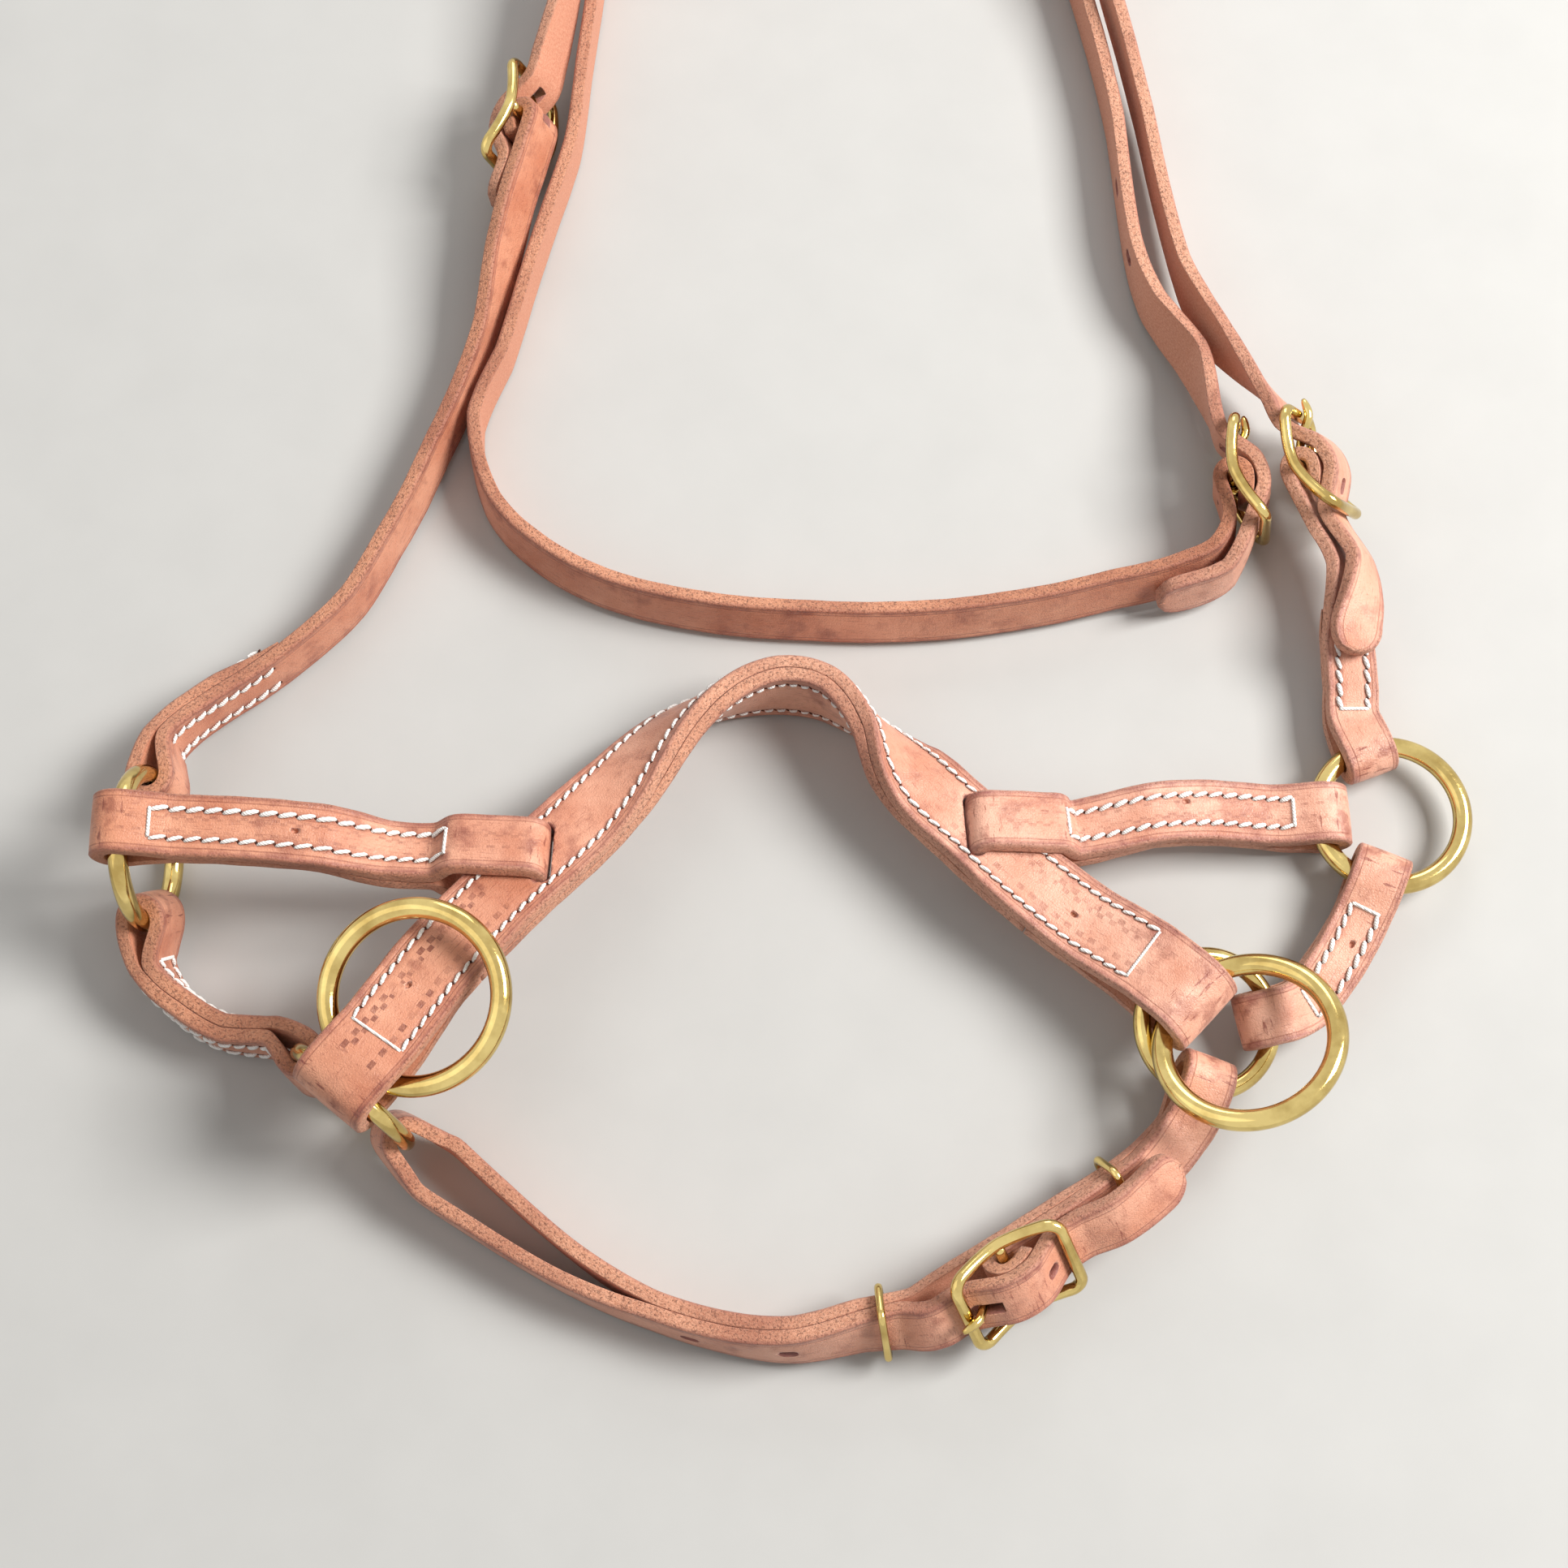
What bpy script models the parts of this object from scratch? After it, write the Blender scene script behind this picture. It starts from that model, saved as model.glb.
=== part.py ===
import bpy
import bmesh
import math
import numpy as np
from mathutils import Matrix, Vector

# Sizes in millimetres, scaled to metres when a mesh is made
MM = 0.001

# Leather
THICK = 4.2
LAYER_GAP = 0.4
PITCH = THICK + LAYER_GAP
HALF_PITCH = PITCH / 2
EDGE_ROUND = 0.7
NOSE_W = 25.0
CONNECT_W = 19.0
DIAG_W = 17.0
STRAP_W = 16.0
STEP = 12.0
BEND_LIMIT = math.cos(math.radians(7))

# Brass rings, measured at the middle of the wire
REIN_R = 25.25
REIN_WIRE = 3.25
CHEEK_R = 22.0
CHEEK_WIRE = 3.0
CHIN_R = 20.0
CHIN_WIRE = 2.75
EYE_CLEAR = 0.6

# Buckles and keepers
BUCKLE_HALF_L = 17.3
BUCKLE_HALF_W = 12.8
BUCKLE_WIRE = 1.7
BUCKLE_BOW = PITCH + 0.7
PASS_GAP = 0.5
BAR_DEPTH = THICK / 2 + EYE_CLEAR + BUCKLE_WIRE
PRONG_WIRE = 1.3
PRONG_REACH = BUCKLE_HALF_L + 3.6
HOLE_L = 7.5
PULLED_HOLE_L = HOLE_L + 2.2
HOLE_W = 3.8
KEEPER_WIRE = 1.2
TIP_LIFT = 3.8

Z = np.array([0.0, 0.0, 1.0])


def vec(*values):
    return np.array(values, dtype=float)


def unit(v):
    return np.asarray(v, dtype=float) / np.linalg.norm(v)


def left_of(tangent):
    return unit(np.cross(Z, tangent))


def tilt_for(tangent, width_dir, near):
    """Tilt in degrees that lays a strap's width along width_dir."""
    side = left_of(tangent)
    up = np.cross(unit(tangent), side)
    flat = unit(width_dir - np.dot(width_dir, unit(tangent)) * unit(tangent))
    face = np.cross(unit(tangent), flat)
    tilt = math.degrees(math.atan2(np.dot(face, side), np.dot(face, up)))
    return min((tilt - 180, tilt, tilt + 180), key=lambda a: abs(a - near))


class Route:
    """Smooth line through control points; a tilt of 0 lies flat and 90 stands on edge."""

    def __init__(self, controls):
        pts = np.array(controls, dtype=float)
        pts = np.vstack([2 * pts[0] - pts[1], pts, 2 * pts[-1] - pts[-2]])
        dense = []
        for group in zip(pts[:-3], pts[1:-2], pts[2:-1], pts[3:]):
            knots = [0.0]
            for a, b in zip(group[:-1], group[1:]):
                knots.append(knots[-1] + math.sqrt(np.linalg.norm((b - a)[:3])) + 1e-6)
            for t in knots[1] + (knots[2] - knots[1]) * np.arange(14) / 14:
                row = list(group)
                for level in (1, 2, 3):
                    row = [((knots[i + level] - t) * row[i] + (t - knots[i]) * row[i + 1])
                           / (knots[i + level] - knots[i]) for i in range(4 - level)]
                dense.append(row[0])
        dense.append(pts[-2])
        self.dense = np.array(dense)
        steps = np.linalg.norm(np.diff(self.dense[:, :3], axis=0), axis=1)
        self.along = np.concatenate([[0.0], np.cumsum(steps)])
        self.length = float(self.along[-1])
        self.grid = [0.0]
        _, tangent, face, _ = self.frame(0.0)
        for s in np.arange(3.0, self.length, 1.0):
            _, now, turned, _ = self.frame(s)
            bend = min(np.dot(now, tangent), np.dot(turned, face))
            gap = s - self.grid[-1]
            if gap >= STEP or (bend < BEND_LIMIT and gap >= 3.6):
                self.grid.append(float(s))
                tangent, face = now, turned

    def sample(self, s):
        inside = min(max(s, 0.0), self.length)
        return np.array([np.interp(inside, self.along, self.dense[:, k]) for k in range(4)])

    def frame(self, s):
        inside = min(max(s, 0.0), self.length)
        low = self.sample(max(inside - 2.0, 0.0))
        high = self.sample(min(inside + 2.0, self.length))
        here = self.sample(inside)
        tangent = unit((high - low)[:3])
        side = left_of(tangent)
        up = np.cross(tangent, side)
        tilt = math.radians(here[3])
        face = math.cos(tilt) * up + math.sin(tilt) * side
        return here[:3] + (s - inside) * tangent, tangent, face, np.cross(face, tangent)

    def place(self, s, n=0.0, w=0.0):
        point, _, face, width = self.frame(s)
        return point + n * face + w * width

    def nearest(self, x, y):
        gaps = np.hypot(self.dense[:, 0] - x, self.dense[:, 1] - y)
        return float(self.along[int(np.argmin(gaps))])


def hull(points):
    """Convex outline of 2D points, counter-clockwise."""
    pts = sorted({(round(float(x), 4), round(float(y), 4)) for x, y in points})

    def half(seq):
        out = []
        for p in seq:
            while len(out) > 1 and ((out[-1][0] - out[-2][0]) * (p[1] - out[-2][1])
                                    - (out[-1][1] - out[-2][1]) * (p[0] - out[-2][0])) <= 0:
                out.pop()
            out.append(p)
        return out[:-1]
    return half(pts) + half(pts[::-1])


def eye(end, wires, reach, low, high, sense=1):
    """Leather wrapped round wires past s = end: from the low layer round to the high one."""
    cloud = [(-reach, low), (-reach, high)]
    for s, n, radius in wires:
        ring = radius + EYE_CLEAR + THICK / 2
        for k in range(20):
            a = 2 * math.pi * k / 20
            cloud.append((s + ring * math.cos(a), n + ring * math.sin(a)))
    outline = hull(cloud)
    first = min(range(len(outline)), key=lambda i: math.hypot(outline[i][0] + reach,
                                                              outline[i][1] - low))
    outline = outline[first:] + outline[:first]
    return [(end + sense * s, n) for s, n in outline]


def refine(route, profile, closed):
    """The same section with a station of the route put into each long stretch."""
    out = []
    pairs = list(zip(profile, profile[1:] + profile[:1]))
    for (s0, n0), (s1, n1) in pairs if closed else pairs[:-1]:
        out.append((s0, n0))
        if abs(s1 - s0) < 5.0:
            continue
        between = [s for s in route.grid if min(s0, s1) + 1.8 < s < max(s0, s1) - 1.8]
        for s in between if s1 > s0 else between[::-1]:
            out.append((s, n0 + (n1 - n0) * (s - s0) / (s1 - s0)))
    return out if closed else out + [profile[-1]]


def material(name, color, metallic, rough):
    mat = bpy.data.materials.new(name)
    mat.use_nodes = True
    node = mat.node_tree.nodes["Principled BSDF"]
    node.inputs["Base Color"].default_value = (*color, 1.0)
    node.inputs["Metallic"].default_value = metallic
    node.inputs["Roughness"].default_value = rough
    return mat


def finish(obj, name, group, mat_data):
    obj.name = name
    obj.data.name = name
    for coll in list(obj.users_collection):
        coll.objects.unlink(obj)
    group.objects.link(obj)
    obj.data.materials.clear()
    obj.data.materials.append(material(name + "_mat", *mat_data))
    return obj


def mesh_object(name, verts, faces):
    data = bpy.data.meshes.new(name)
    moved = [(x * MM, y * MM, z * MM) for x, y, z in verts]
    data.from_pydata(moved, [], faces)
    data.update()
    obj = bpy.data.objects.new(name, data)
    bpy.context.scene.collection.objects.link(obj)
    return obj


def apply_all(obj):
    graph = bpy.context.evaluated_depsgraph_get()
    made = bpy.data.meshes.new_from_object(obj.evaluated_get(graph))
    obj.modifiers.clear()
    obj.data = made
    return obj


def strap(name, route, profile, width, closed=False, tips=(), thick=THICK):
    """Leather band whose section line is profile, in (s, n) along the route."""
    profile = refine(route, profile, closed)
    verts = []
    total = len(profile)
    for i, (s, n) in enumerate(profile):
        half = width / 2
        if "start" in tips:
            half *= min(1.0, 0.45 + 0.2 * i)
        if "end" in tips:
            half *= min(1.0, 0.45 + 0.2 * (total - 1 - i))
        verts.append(route.place(s, n, -half))
        verts.append(route.place(s, n, half))
    last = total if closed else total - 1
    faces = [(2 * i, 2 * i + 1, (2 * i + 3) % (2 * total), (2 * i + 2) % (2 * total))
             for i in range(last)]
    obj = mesh_object(name, verts, faces)
    solid = obj.modifiers.new("thickness", "SOLIDIFY")
    solid.thickness = thick * MM
    solid.offset = 0.0
    solid.use_even_offset = True
    edges = obj.modifiers.new("edges", "BEVEL")
    edges.width = EDGE_ROUND * MM
    edges.segments = 1
    edges.limit_method = "ANGLE"
    edges.angle_limit = math.radians(55)
    return apply_all(obj)


def boolean(obj, other, how, cutters):
    mod = obj.modifiers.new(how.lower(), "BOOLEAN")
    mod.operation = how
    mod.solver = "EXACT"
    mod.object = other
    apply_all(obj)
    if how == "UNION":
        bpy.data.objects.remove(other)
    else:
        for coll in list(other.users_collection):
            coll.objects.unlink(other)
        cutters.objects.link(other)
        other.hide_render = True
        other.display_type = "WIRE"
    return obj


def slot_cutter(name, centre, along, across, through, length, wide, deep):
    """Rounded slot: length along, wide across, cut deep through."""
    mesh = bmesh.new()
    outline = []
    for k in range(12):
        a = 2 * math.pi * (k + 0.5) / 12
        shift = math.copysign(max(length - wide, 0) / 2, math.cos(a))
        outline.append((shift + wide / 2 * math.cos(a), wide / 2 * math.sin(a)))
    rings = []
    for level in (-deep / 2, deep / 2):
        row = []
        for p, q in outline:
            v = centre + p * along + q * across + level * through
            row.append(mesh.verts.new((v[0] * MM, v[1] * MM, v[2] * MM)))
        rings.append(row)
    mesh.faces.new(rings[0][::-1])
    mesh.faces.new(rings[1])
    for k in range(12):
        j = (k + 1) % 12
        mesh.faces.new((rings[0][k], rings[0][j], rings[1][j], rings[1][k]))
    bmesh.ops.recalc_face_normals(mesh, faces=mesh.faces)
    data = bpy.data.meshes.new(name)
    mesh.to_mesh(data)
    mesh.free()
    obj = bpy.data.objects.new(name, data)
    bpy.context.scene.collection.objects.link(obj)
    return obj


def wire(name, points, radius, closed, sides=2):
    """Round bar bent along points, made by bevelling a curve."""
    data = bpy.data.curves.new(name, "CURVE")
    data.dimensions = "3D"
    data.bevel_depth = radius * MM
    data.bevel_resolution = sides
    data.use_fill_caps = True
    spline = data.splines.new("POLY")
    spline.points.add(len(points) - 1)
    for slot, p in zip(spline.points, points):
        slot.co = (p[0] * MM, p[1] * MM, p[2] * MM, 1.0)
    spline.use_cyclic_u = closed
    obj = bpy.data.objects.new(name, data)
    bpy.context.scene.collection.objects.link(obj)
    graph = bpy.context.evaluated_depsgraph_get()
    made = bpy.data.meshes.new_from_object(obj.evaluated_get(graph))
    bpy.data.objects.remove(obj)
    mesh = bmesh.new()
    mesh.from_mesh(made)
    bmesh.ops.remove_doubles(mesh, verts=mesh.verts, dist=0.00002)
    bmesh.ops.recalc_face_normals(mesh, faces=mesh.faces)
    mesh.to_mesh(made)
    mesh.free()
    out = bpy.data.objects.new(name, made)
    bpy.context.scene.collection.objects.link(out)
    return out


def set_origin(obj, point, axis=None):
    """Move the object's origin to a joint; its local Z follows the axis when one is given."""
    where = Vector((point[0] * MM, point[1] * MM, point[2] * MM))
    turn = Matrix.Identity(4)
    if axis is not None:
        turn = Vector(tuple(axis)).to_track_quat("Z", "Y").to_matrix().to_4x4()
    frame = Matrix.Translation(where) @ turn
    obj.data.transform(frame.inverted() @ obj.matrix_world)
    obj.matrix_world = frame


class Ring:
    """Brass wire ring given by its centre, axis, radius and wire radius."""

    def __init__(self, name, centre, axis, radius, thick):
        self.name = name
        self.centre = centre
        self.axis = unit(axis)
        self.radius = radius
        self.thick = thick

    def spoke(self, toward):
        flat = toward - np.dot(toward, self.axis) * self.axis
        return unit(flat)

    def sag(self, width):
        return self.radius - math.sqrt(self.radius ** 2 - (width / 2) ** 2)

    def hold(self, spoke, width):
        """Middle of the wire's arc inside an eye of this width, and the wire's direction."""
        middle = self.centre + (self.radius - self.sag(width) / 2) * spoke
        return middle, np.cross(self.axis, spoke)

    def build(self):
        mesh = bmesh.new()
        rows, cols = 40, 8
        side = unit(np.cross(self.axis, vec(0.31, 0.17, 0.93)))
        other = np.cross(self.axis, side)
        grid = []
        for i in range(rows):
            a = 2 * math.pi * i / rows
            spoke = math.cos(a) * side + math.sin(a) * other
            row = []
            for j in range(cols):
                b = 2 * math.pi * (j + 0.5) / cols
                p = self.centre + (self.radius + self.thick * math.cos(b)) * spoke
                p = p + self.thick * math.sin(b) * self.axis
                row.append(mesh.verts.new((p[0] * MM, p[1] * MM, p[2] * MM)))
            grid.append(row)
        for i in range(rows):
            for j in range(cols):
                k, m = (i + 1) % rows, (j + 1) % cols
                mesh.faces.new((grid[i][j], grid[k][j], grid[k][m], grid[i][m]))
        bmesh.ops.recalc_face_normals(mesh, faces=mesh.faces)
        data = bpy.data.meshes.new(self.name)
        mesh.to_mesh(data)
        mesh.free()
        obj = bpy.data.objects.new(self.name, data)
        bpy.context.scene.collection.objects.link(obj)
        return obj


class Buckle:
    """Centre-bar buckle on a route: bar at (s, n), the strap that carries it on side +sense."""

    def __init__(self, name, route, s, n, sense):
        self.name = name
        self.route = route
        self.s = s
        self.n = n
        self.sense = sense
        base, tangent, face, width = route.frame(s)
        self.origin = base + n * face
        self.along = sense * tangent
        self.face = face
        self.width = width

    def spot(self, s, n, w=0.0):
        return self.origin + s * self.along + n * self.face + w * self.width

    def frame(self):
        corner = 4.0
        points = []
        for qx, qy, start in ((1, 1, 0), (-1, 1, 90), (-1, -1, 180), (1, -1, 270)):
            for k in range(4):
                a = math.radians(start + 30 * k)
                s = qx * (BUCKLE_HALF_L - corner) + corner * math.cos(a)
                w = qy * (BUCKLE_HALF_W - corner) + corner * math.sin(a)
                points.append((s, w))
            if qx * qy > 0:
                points += [(qx * u, qy * BUCKLE_HALF_W) for u in (8.0, 0.0, -8.0)]
        placed = [self.spot(s, BUCKLE_BOW * (abs(s) / BUCKLE_HALF_L) ** 1.6, w)
                  for s, w in points]
        return wire(self.name + "_frame", placed, BUCKLE_WIRE, True)

    def bar(self):
        ends = [self.spot(0, 0, w) for w in (-BUCKLE_HALF_W, BUCKLE_HALF_W)]
        return wire(self.name + "_bar", ends, BUCKLE_WIRE, False)

    def prong(self):
        turn = BUCKLE_WIRE + 0.3 + PRONG_WIRE
        points = [(turn * math.cos(math.radians(a)), turn * math.sin(math.radians(a)))
                  for a in range(150, -126, -25)]
        tip_n = BUCKLE_BOW + BUCKLE_WIRE + PRONG_WIRE + 0.5
        points += [(-6.0, 0.2), (-11.0, 3.7), (-15.0, tip_n - 0.7)]
        points += [(-BUCKLE_HALF_L, tip_n), (-PRONG_REACH, tip_n + 0.3)]
        return wire(self.name + "_prong", [self.spot(s, n) for s, n in points], PRONG_WIRE, False)

    def carrier(self):
        """Section of the strap folded round the bar, from the long layer to the tail."""
        turn = BUCKLE_WIRE + EYE_CLEAR + THICK / 2
        out = [(12.0, -BAR_DEPTH), (5.0, -BAR_DEPTH)]
        out += [(turn * math.cos(math.radians(a)), turn * math.sin(math.radians(a)))
                for a in range(-90, -271, -30)]
        out += [(4.0, turn - 1.2), (7.0, turn - 3.2)]
        return [(self.s + self.sense * s, self.n + n) for s, n in out]

    def billet(self):
        """Section of the free strap: under one end, over the bar, under the other."""
        low = BUCKLE_BOW - BUCKLE_WIRE - PASS_GAP - THICK / 2
        top = BUCKLE_WIRE + EYE_CLEAR + THICK + PASS_GAP + THICK / 2
        out = [(-24.0, low), (-16.0, low), (-12.5, low + 1.7), (-5.5, top - 1.2),
               (0.0, top), (5.5, top - 0.8), (12.5, low + 2.2), (16.0, low), (24.0, low)]
        return [(self.s + self.sense * s, self.n + n) for s, n in out]

    def prong_cutter(self):
        return slot_cutter(self.name + "_fold_slot", self.spot(-1.0, 0.1), self.along, self.width,
                           self.face, 13.0, 2 * PRONG_WIRE + 1.4, 12.8)

    def hole_cutter(self):
        return slot_cutter(self.name + "_hole", self.spot(-10.7, 4.3), self.along, self.width,
                           self.face, PULLED_HOLE_L, HOLE_W, 9.6)

    def billet_spots(self, tip):
        """Points and width directions of a free strap through the buckle, from its tip on."""
        low = BUCKLE_BOW - BUCKLE_WIRE - PASS_GAP - THICK / 2
        path = [(self.s + self.sense * s, self.n + low + 1.3) for s in np.arange(tip, 30.0, -10.0)]
        path += self.billet()[::-1]
        return [(self.route.place(s, n), self.route.frame(s)[3]) for s, n in path]


def controls_from(points, widths, near):
    """Route controls from points and the direction of the strap's width at each."""
    out = []
    for i, (p, w) in enumerate(zip(points, widths)):
        ahead = points[min(i + 1, len(points) - 1)]
        behind = points[max(i - 1, 0)]
        near = tilt_for(unit(ahead - behind), w, near)
        out.append((*p, near))
    return out


def ring_eye(route, at_end, ring, spoke, width, reach, low, high, slack=0.0):
    """Section of a strap wrapped round a ring's wire at one end of its route."""
    end = route.length if at_end else 0.0
    sense = 1 if at_end else -1
    _, tangent, face, _ = route.frame(end)
    s_off = ring.sag(width) / 2 * np.dot(spoke, sense * tangent)
    n_off = ring.sag(width) / 2 * np.dot(spoke, face)
    more = 1.25 * slack + (1.1 if slack else 0.0)
    wires = [(s_off + more, n_off, ring.thick), (-s_off - more, -n_off, ring.thick)]
    return eye(end, wires, reach, low, high, sense)


def slot_eye(end, sense, half_body, edge, reach):
    """Section of a strap that goes round the noseband's edge and back through its slot."""
    corner = 0.9
    level = half_body + 1.1 + THICK / 2 - (corner + EYE_CLEAR + THICK / 2)
    inward = corner + EYE_CLEAR + THICK / 2
    wires = [(-inward, level, corner), (-inward, -level, corner),
             (-edge, level, corner), (-edge, -level, corner)]
    return eye(end, wires, reach, -HALF_PITCH, HALF_PITCH, sense)


def loop_strap(name, route, first, second, width):
    """Doubled strap with an eye at both ends: one closed band."""
    return strap(name, route, first + second[::-1], width, closed=True)


def keeper(name, route, s, low, high):
    """Wire loop round the layers between low and high."""
    half_w = STRAP_W / 2 + KEEPER_WIRE + 0.5
    corner = 2.5
    points = []
    for qn, qw, start in ((1, 1, 0), (-1, 1, 90), (-1, -1, 180), (1, -1, 270)):
        for k in range(4):
            a = math.radians(start + 30 * k)
            edge = high + KEEPER_WIRE + 0.4 if qn > 0 else low - KEEPER_WIRE - 0.4
            n = edge - qn * corner + corner * math.cos(a)
            w = qw * (half_w - corner) + corner * math.sin(a)
            points.append(route.place(s, n, w))
    return wire(name, points, KEEPER_WIRE, True, 1)


for old in list(bpy.data.objects):
    bpy.data.objects.remove(old)
parts = bpy.data.collections.new("sidepull_headstall")
cutters = bpy.data.collections.new("cutters")
bpy.context.scene.collection.children.link(parts)
bpy.context.scene.collection.children.link(cutters)
cutters.hide_render = True

LEATHER = ((0.72, 0.33, 0.22), 0.0, 0.6)
BRASS = ((0.83, 0.62, 0.22), 1.0, 0.25)

# Noseband ends: the left one hangs on an upright chin ring, the right one lies low
OUT_L = unit(vec(-0.62, -0.78, 0))
OUT_R = unit(vec(0.74, -0.673, 0))
CHIN_SAG = CHIN_R - math.sqrt(CHIN_R ** 2 - (NOSE_W / 2) ** 2)
REIN_SAG = REIN_R - math.sqrt(REIN_R ** 2 - (NOSE_W / 2) ** 2)
WIRE_PITCH_L = CHIN_WIRE + REIN_WIRE + 0.6
WIRE_PITCH_R = WIRE_PITCH_L + CHIN_SAG - REIN_SAG + 1.2
REIN_REST = 1.3
SEAT = 0.3
chin_l_mid = vec(-124.0, -93.2, CHIN_R + CHIN_WIRE + 0.05)
nose_l = chin_l_mid + (CHIN_R - CHIN_SAG / 2) * Z
nose_r = vec(116.6, -62.4, 18.0)

chin_ring_l = Ring("left_chin_ring", chin_l_mid, OUT_L, CHIN_R, CHIN_WIRE)
rein_tilt_l = math.radians(12.3)
rein_l_wire = nose_l - WIRE_PITCH_L * OUT_L - (REIN_REST + SEAT) * Z
rein_l_dir = -math.cos(rein_tilt_l) * OUT_L + math.sin(rein_tilt_l) * Z
rein_ring_l = Ring("left_rein_ring", rein_l_wire + REIN_R * rein_l_dir,
                   np.cross(rein_l_dir, np.cross(Z, OUT_L)), REIN_R, REIN_WIRE)
chin_drop_r = math.radians(14.0)
chin_r_wire = nose_r - WIRE_PITCH_R * OUT_R
chin_r_dir = math.cos(chin_drop_r) * OUT_R - math.sin(chin_drop_r) * Z
chin_ring_r = Ring("right_chin_ring", chin_r_wire + CHIN_R * chin_r_dir,
                   np.cross(chin_r_dir, np.cross(Z, OUT_R)), CHIN_R, CHIN_WIRE)
rein_tilt_r = math.radians(24.0)
rein_r_dir = math.cos(rein_tilt_r) * OUT_R + math.sin(rein_tilt_r) * Z
rein_ring_r = Ring("right_rein_ring", nose_r + REIN_R * rein_r_dir,
                   np.cross(rein_r_dir, np.cross(Z, OUT_R)), REIN_R, REIN_WIRE)

# Cheek rings: the left one stands and leans, the right one lies flat
lean = math.radians(8.5)
cheek_top = vec(-math.sin(lean), 0, math.cos(lean))
cheek_ring_l = Ring("left_cheek_ring",
                    vec(-188.5, -19.1, CHEEK_R * math.cos(lean) + CHEEK_WIRE + 0.05),
                    vec(math.cos(lean), 0, math.sin(lean)), CHEEK_R, CHEEK_WIRE)
cheek_ring_r = Ring("right_cheek_ring", vec(183.7, -4.0, 9.0), Z, CHEEK_R, CHEEK_WIRE)

# Noseband: outer layer folded round both pairs of wires, lining between its tails
slot_l = vec(-70.7, -24.1, 29.0)
slot_l_dir = unit(vec(0.65, 0.725, -0.225))
slot_r = vec(56.1, -11.7, 17.5)
slot_r_dir = unit(vec(0.714, -0.70, 0.02))
nose = Route([
    (*nose_l, 0), (*(nose_l - 15 * OUT_L), 0), (-100.9, -60.2, 39.0, 3),
    (*(slot_l - 18 * slot_l_dir), 10), (*slot_l, 10), (*(slot_l + 18 * slot_l_dir), 12),
    (-47.7, 2.7, 21.5, 30), (-33.5, 20.5, 18.0, 56), (-18.8, 31.1, 15.2, 80),
    (-2.2, 36.2, 13.6, 96), (13.4, 33.3, 14.0, 94), (28.1, 19.8, 15.2, 68),
    (35.6, 9.4, 16.4, 36), (*(slot_r - 18 * slot_r_dir), 14), (*slot_r, 14), (*(slot_r + 18 * slot_r_dir), 12),
    (88.0, -39.8, 17.4, 5), (*(nose_r - 15 * OUT_R), 0), (*nose_r, 0)])
TAIL = 48.0
swing = [(0.2, 0.98), (0.7, 0.7), (0.98, 0.2)]
wires_l = [(0, CHIN_SAG / 2, CHIN_WIRE), (0, -CHIN_SAG / 2, CHIN_WIRE),
           (-WIRE_PITCH_L, -REIN_REST, REIN_WIRE)]
wires_l += [(-WIRE_PITCH_L - REIN_SAG * c, REIN_SAG * n - REIN_REST, REIN_WIRE)
            for n, c in swing]
wires_r = [(0, 0, REIN_WIRE), (-WIRE_PITCH_R, 0, CHIN_WIRE),
           (-WIRE_PITCH_R + CHIN_SAG * 0.97, -CHIN_SAG * 0.24, CHIN_WIRE)]
wires_r += [(REIN_SAG * c, REIN_SAG * n, REIN_WIRE) for n, c in swing]
fold_l = eye(0.0, wires_l, 34.0, -HALF_PITCH, HALF_PITCH, -1)
fold_r = eye(nose.length, wires_r, 34.0, -HALF_PITCH, HALF_PITCH, 1)
tail_l = [(TAIL, -HALF_PITCH)]
tail_r = [(nose.length - TAIL, -HALF_PITCH)]
noseband = strap("noseband_outer", nose, tail_l + fold_l + fold_r[::-1] + tail_r, NOSE_W)
lining_n = -HALF_PITCH - 0.35
lining_run = [(TAIL + 0.6, lining_n), (nose.length - TAIL - 0.6, lining_n)]
lining = strap("noseband_lining", nose, lining_run, NOSE_W)

# Connectors: round the cheek ring and through the noseband's slot
at_l = nose.nearest(slot_l[0], slot_l[1])
at_r = nose.nearest(slot_r[0], slot_r[1])
_, _, face_l, _ = nose.frame(at_l)
_, _, face_r, _ = nose.frame(at_r)
into_l = unit(vec(1, -0.03, 0) - np.dot(vec(1, -0.03, 0), face_l) * face_l)
into_r = unit(vec(-1, -0.06, 0) - np.dot(vec(-1, -0.06, 0), face_r) * face_r)
across_l = np.cross(face_l, into_l)
across_r = np.cross(face_r, into_r)
for index, (mid, into, across, face) in enumerate(
        ((slot_l, into_l, across_l, face_l), (slot_r, into_r, across_r, face_r))):
    for target in (noseband, lining):
        cut = slot_cutter(f"{target.name}_slot_{index}", mid, across, into, face,
                          CONNECT_W + 1.6, THICK + 1.8, 26.0)
        boolean(target, cut, "DIFFERENCE", cutters)
spoke = cheek_top
hold, along = cheek_ring_l.hold(spoke, CONNECT_W)
line = [hold, hold + vec(14, 0, -0.6), vec(-155, -19.6, 43.2), vec(-133, -20.6, 39.5),
        slot_l - 46 * into_l + vec(0, 0, 1.0), slot_l - 32 * into_l, slot_l - 14 * into_l, slot_l]
sides = [along] * 4 + [across_l] * 4
sides = [w if np.dot(w, sides[0]) > 0 else -w for w in sides]
conn_l = Route(controls_from(line, sides, 0))
first = ring_eye(conn_l, False, cheek_ring_l, spoke, CONNECT_W, 16, -HALF_PITCH, HALF_PITCH)
second = slot_eye(conn_l.length, 1, PITCH, 25.0, 40.0)
connector_l = loop_strap("left_connector", conn_l, first, second, CONNECT_W)
spoke = unit(vec(-1, -0.03, 0))
hold, along = cheek_ring_r.hold(spoke, CONNECT_W)
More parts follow.
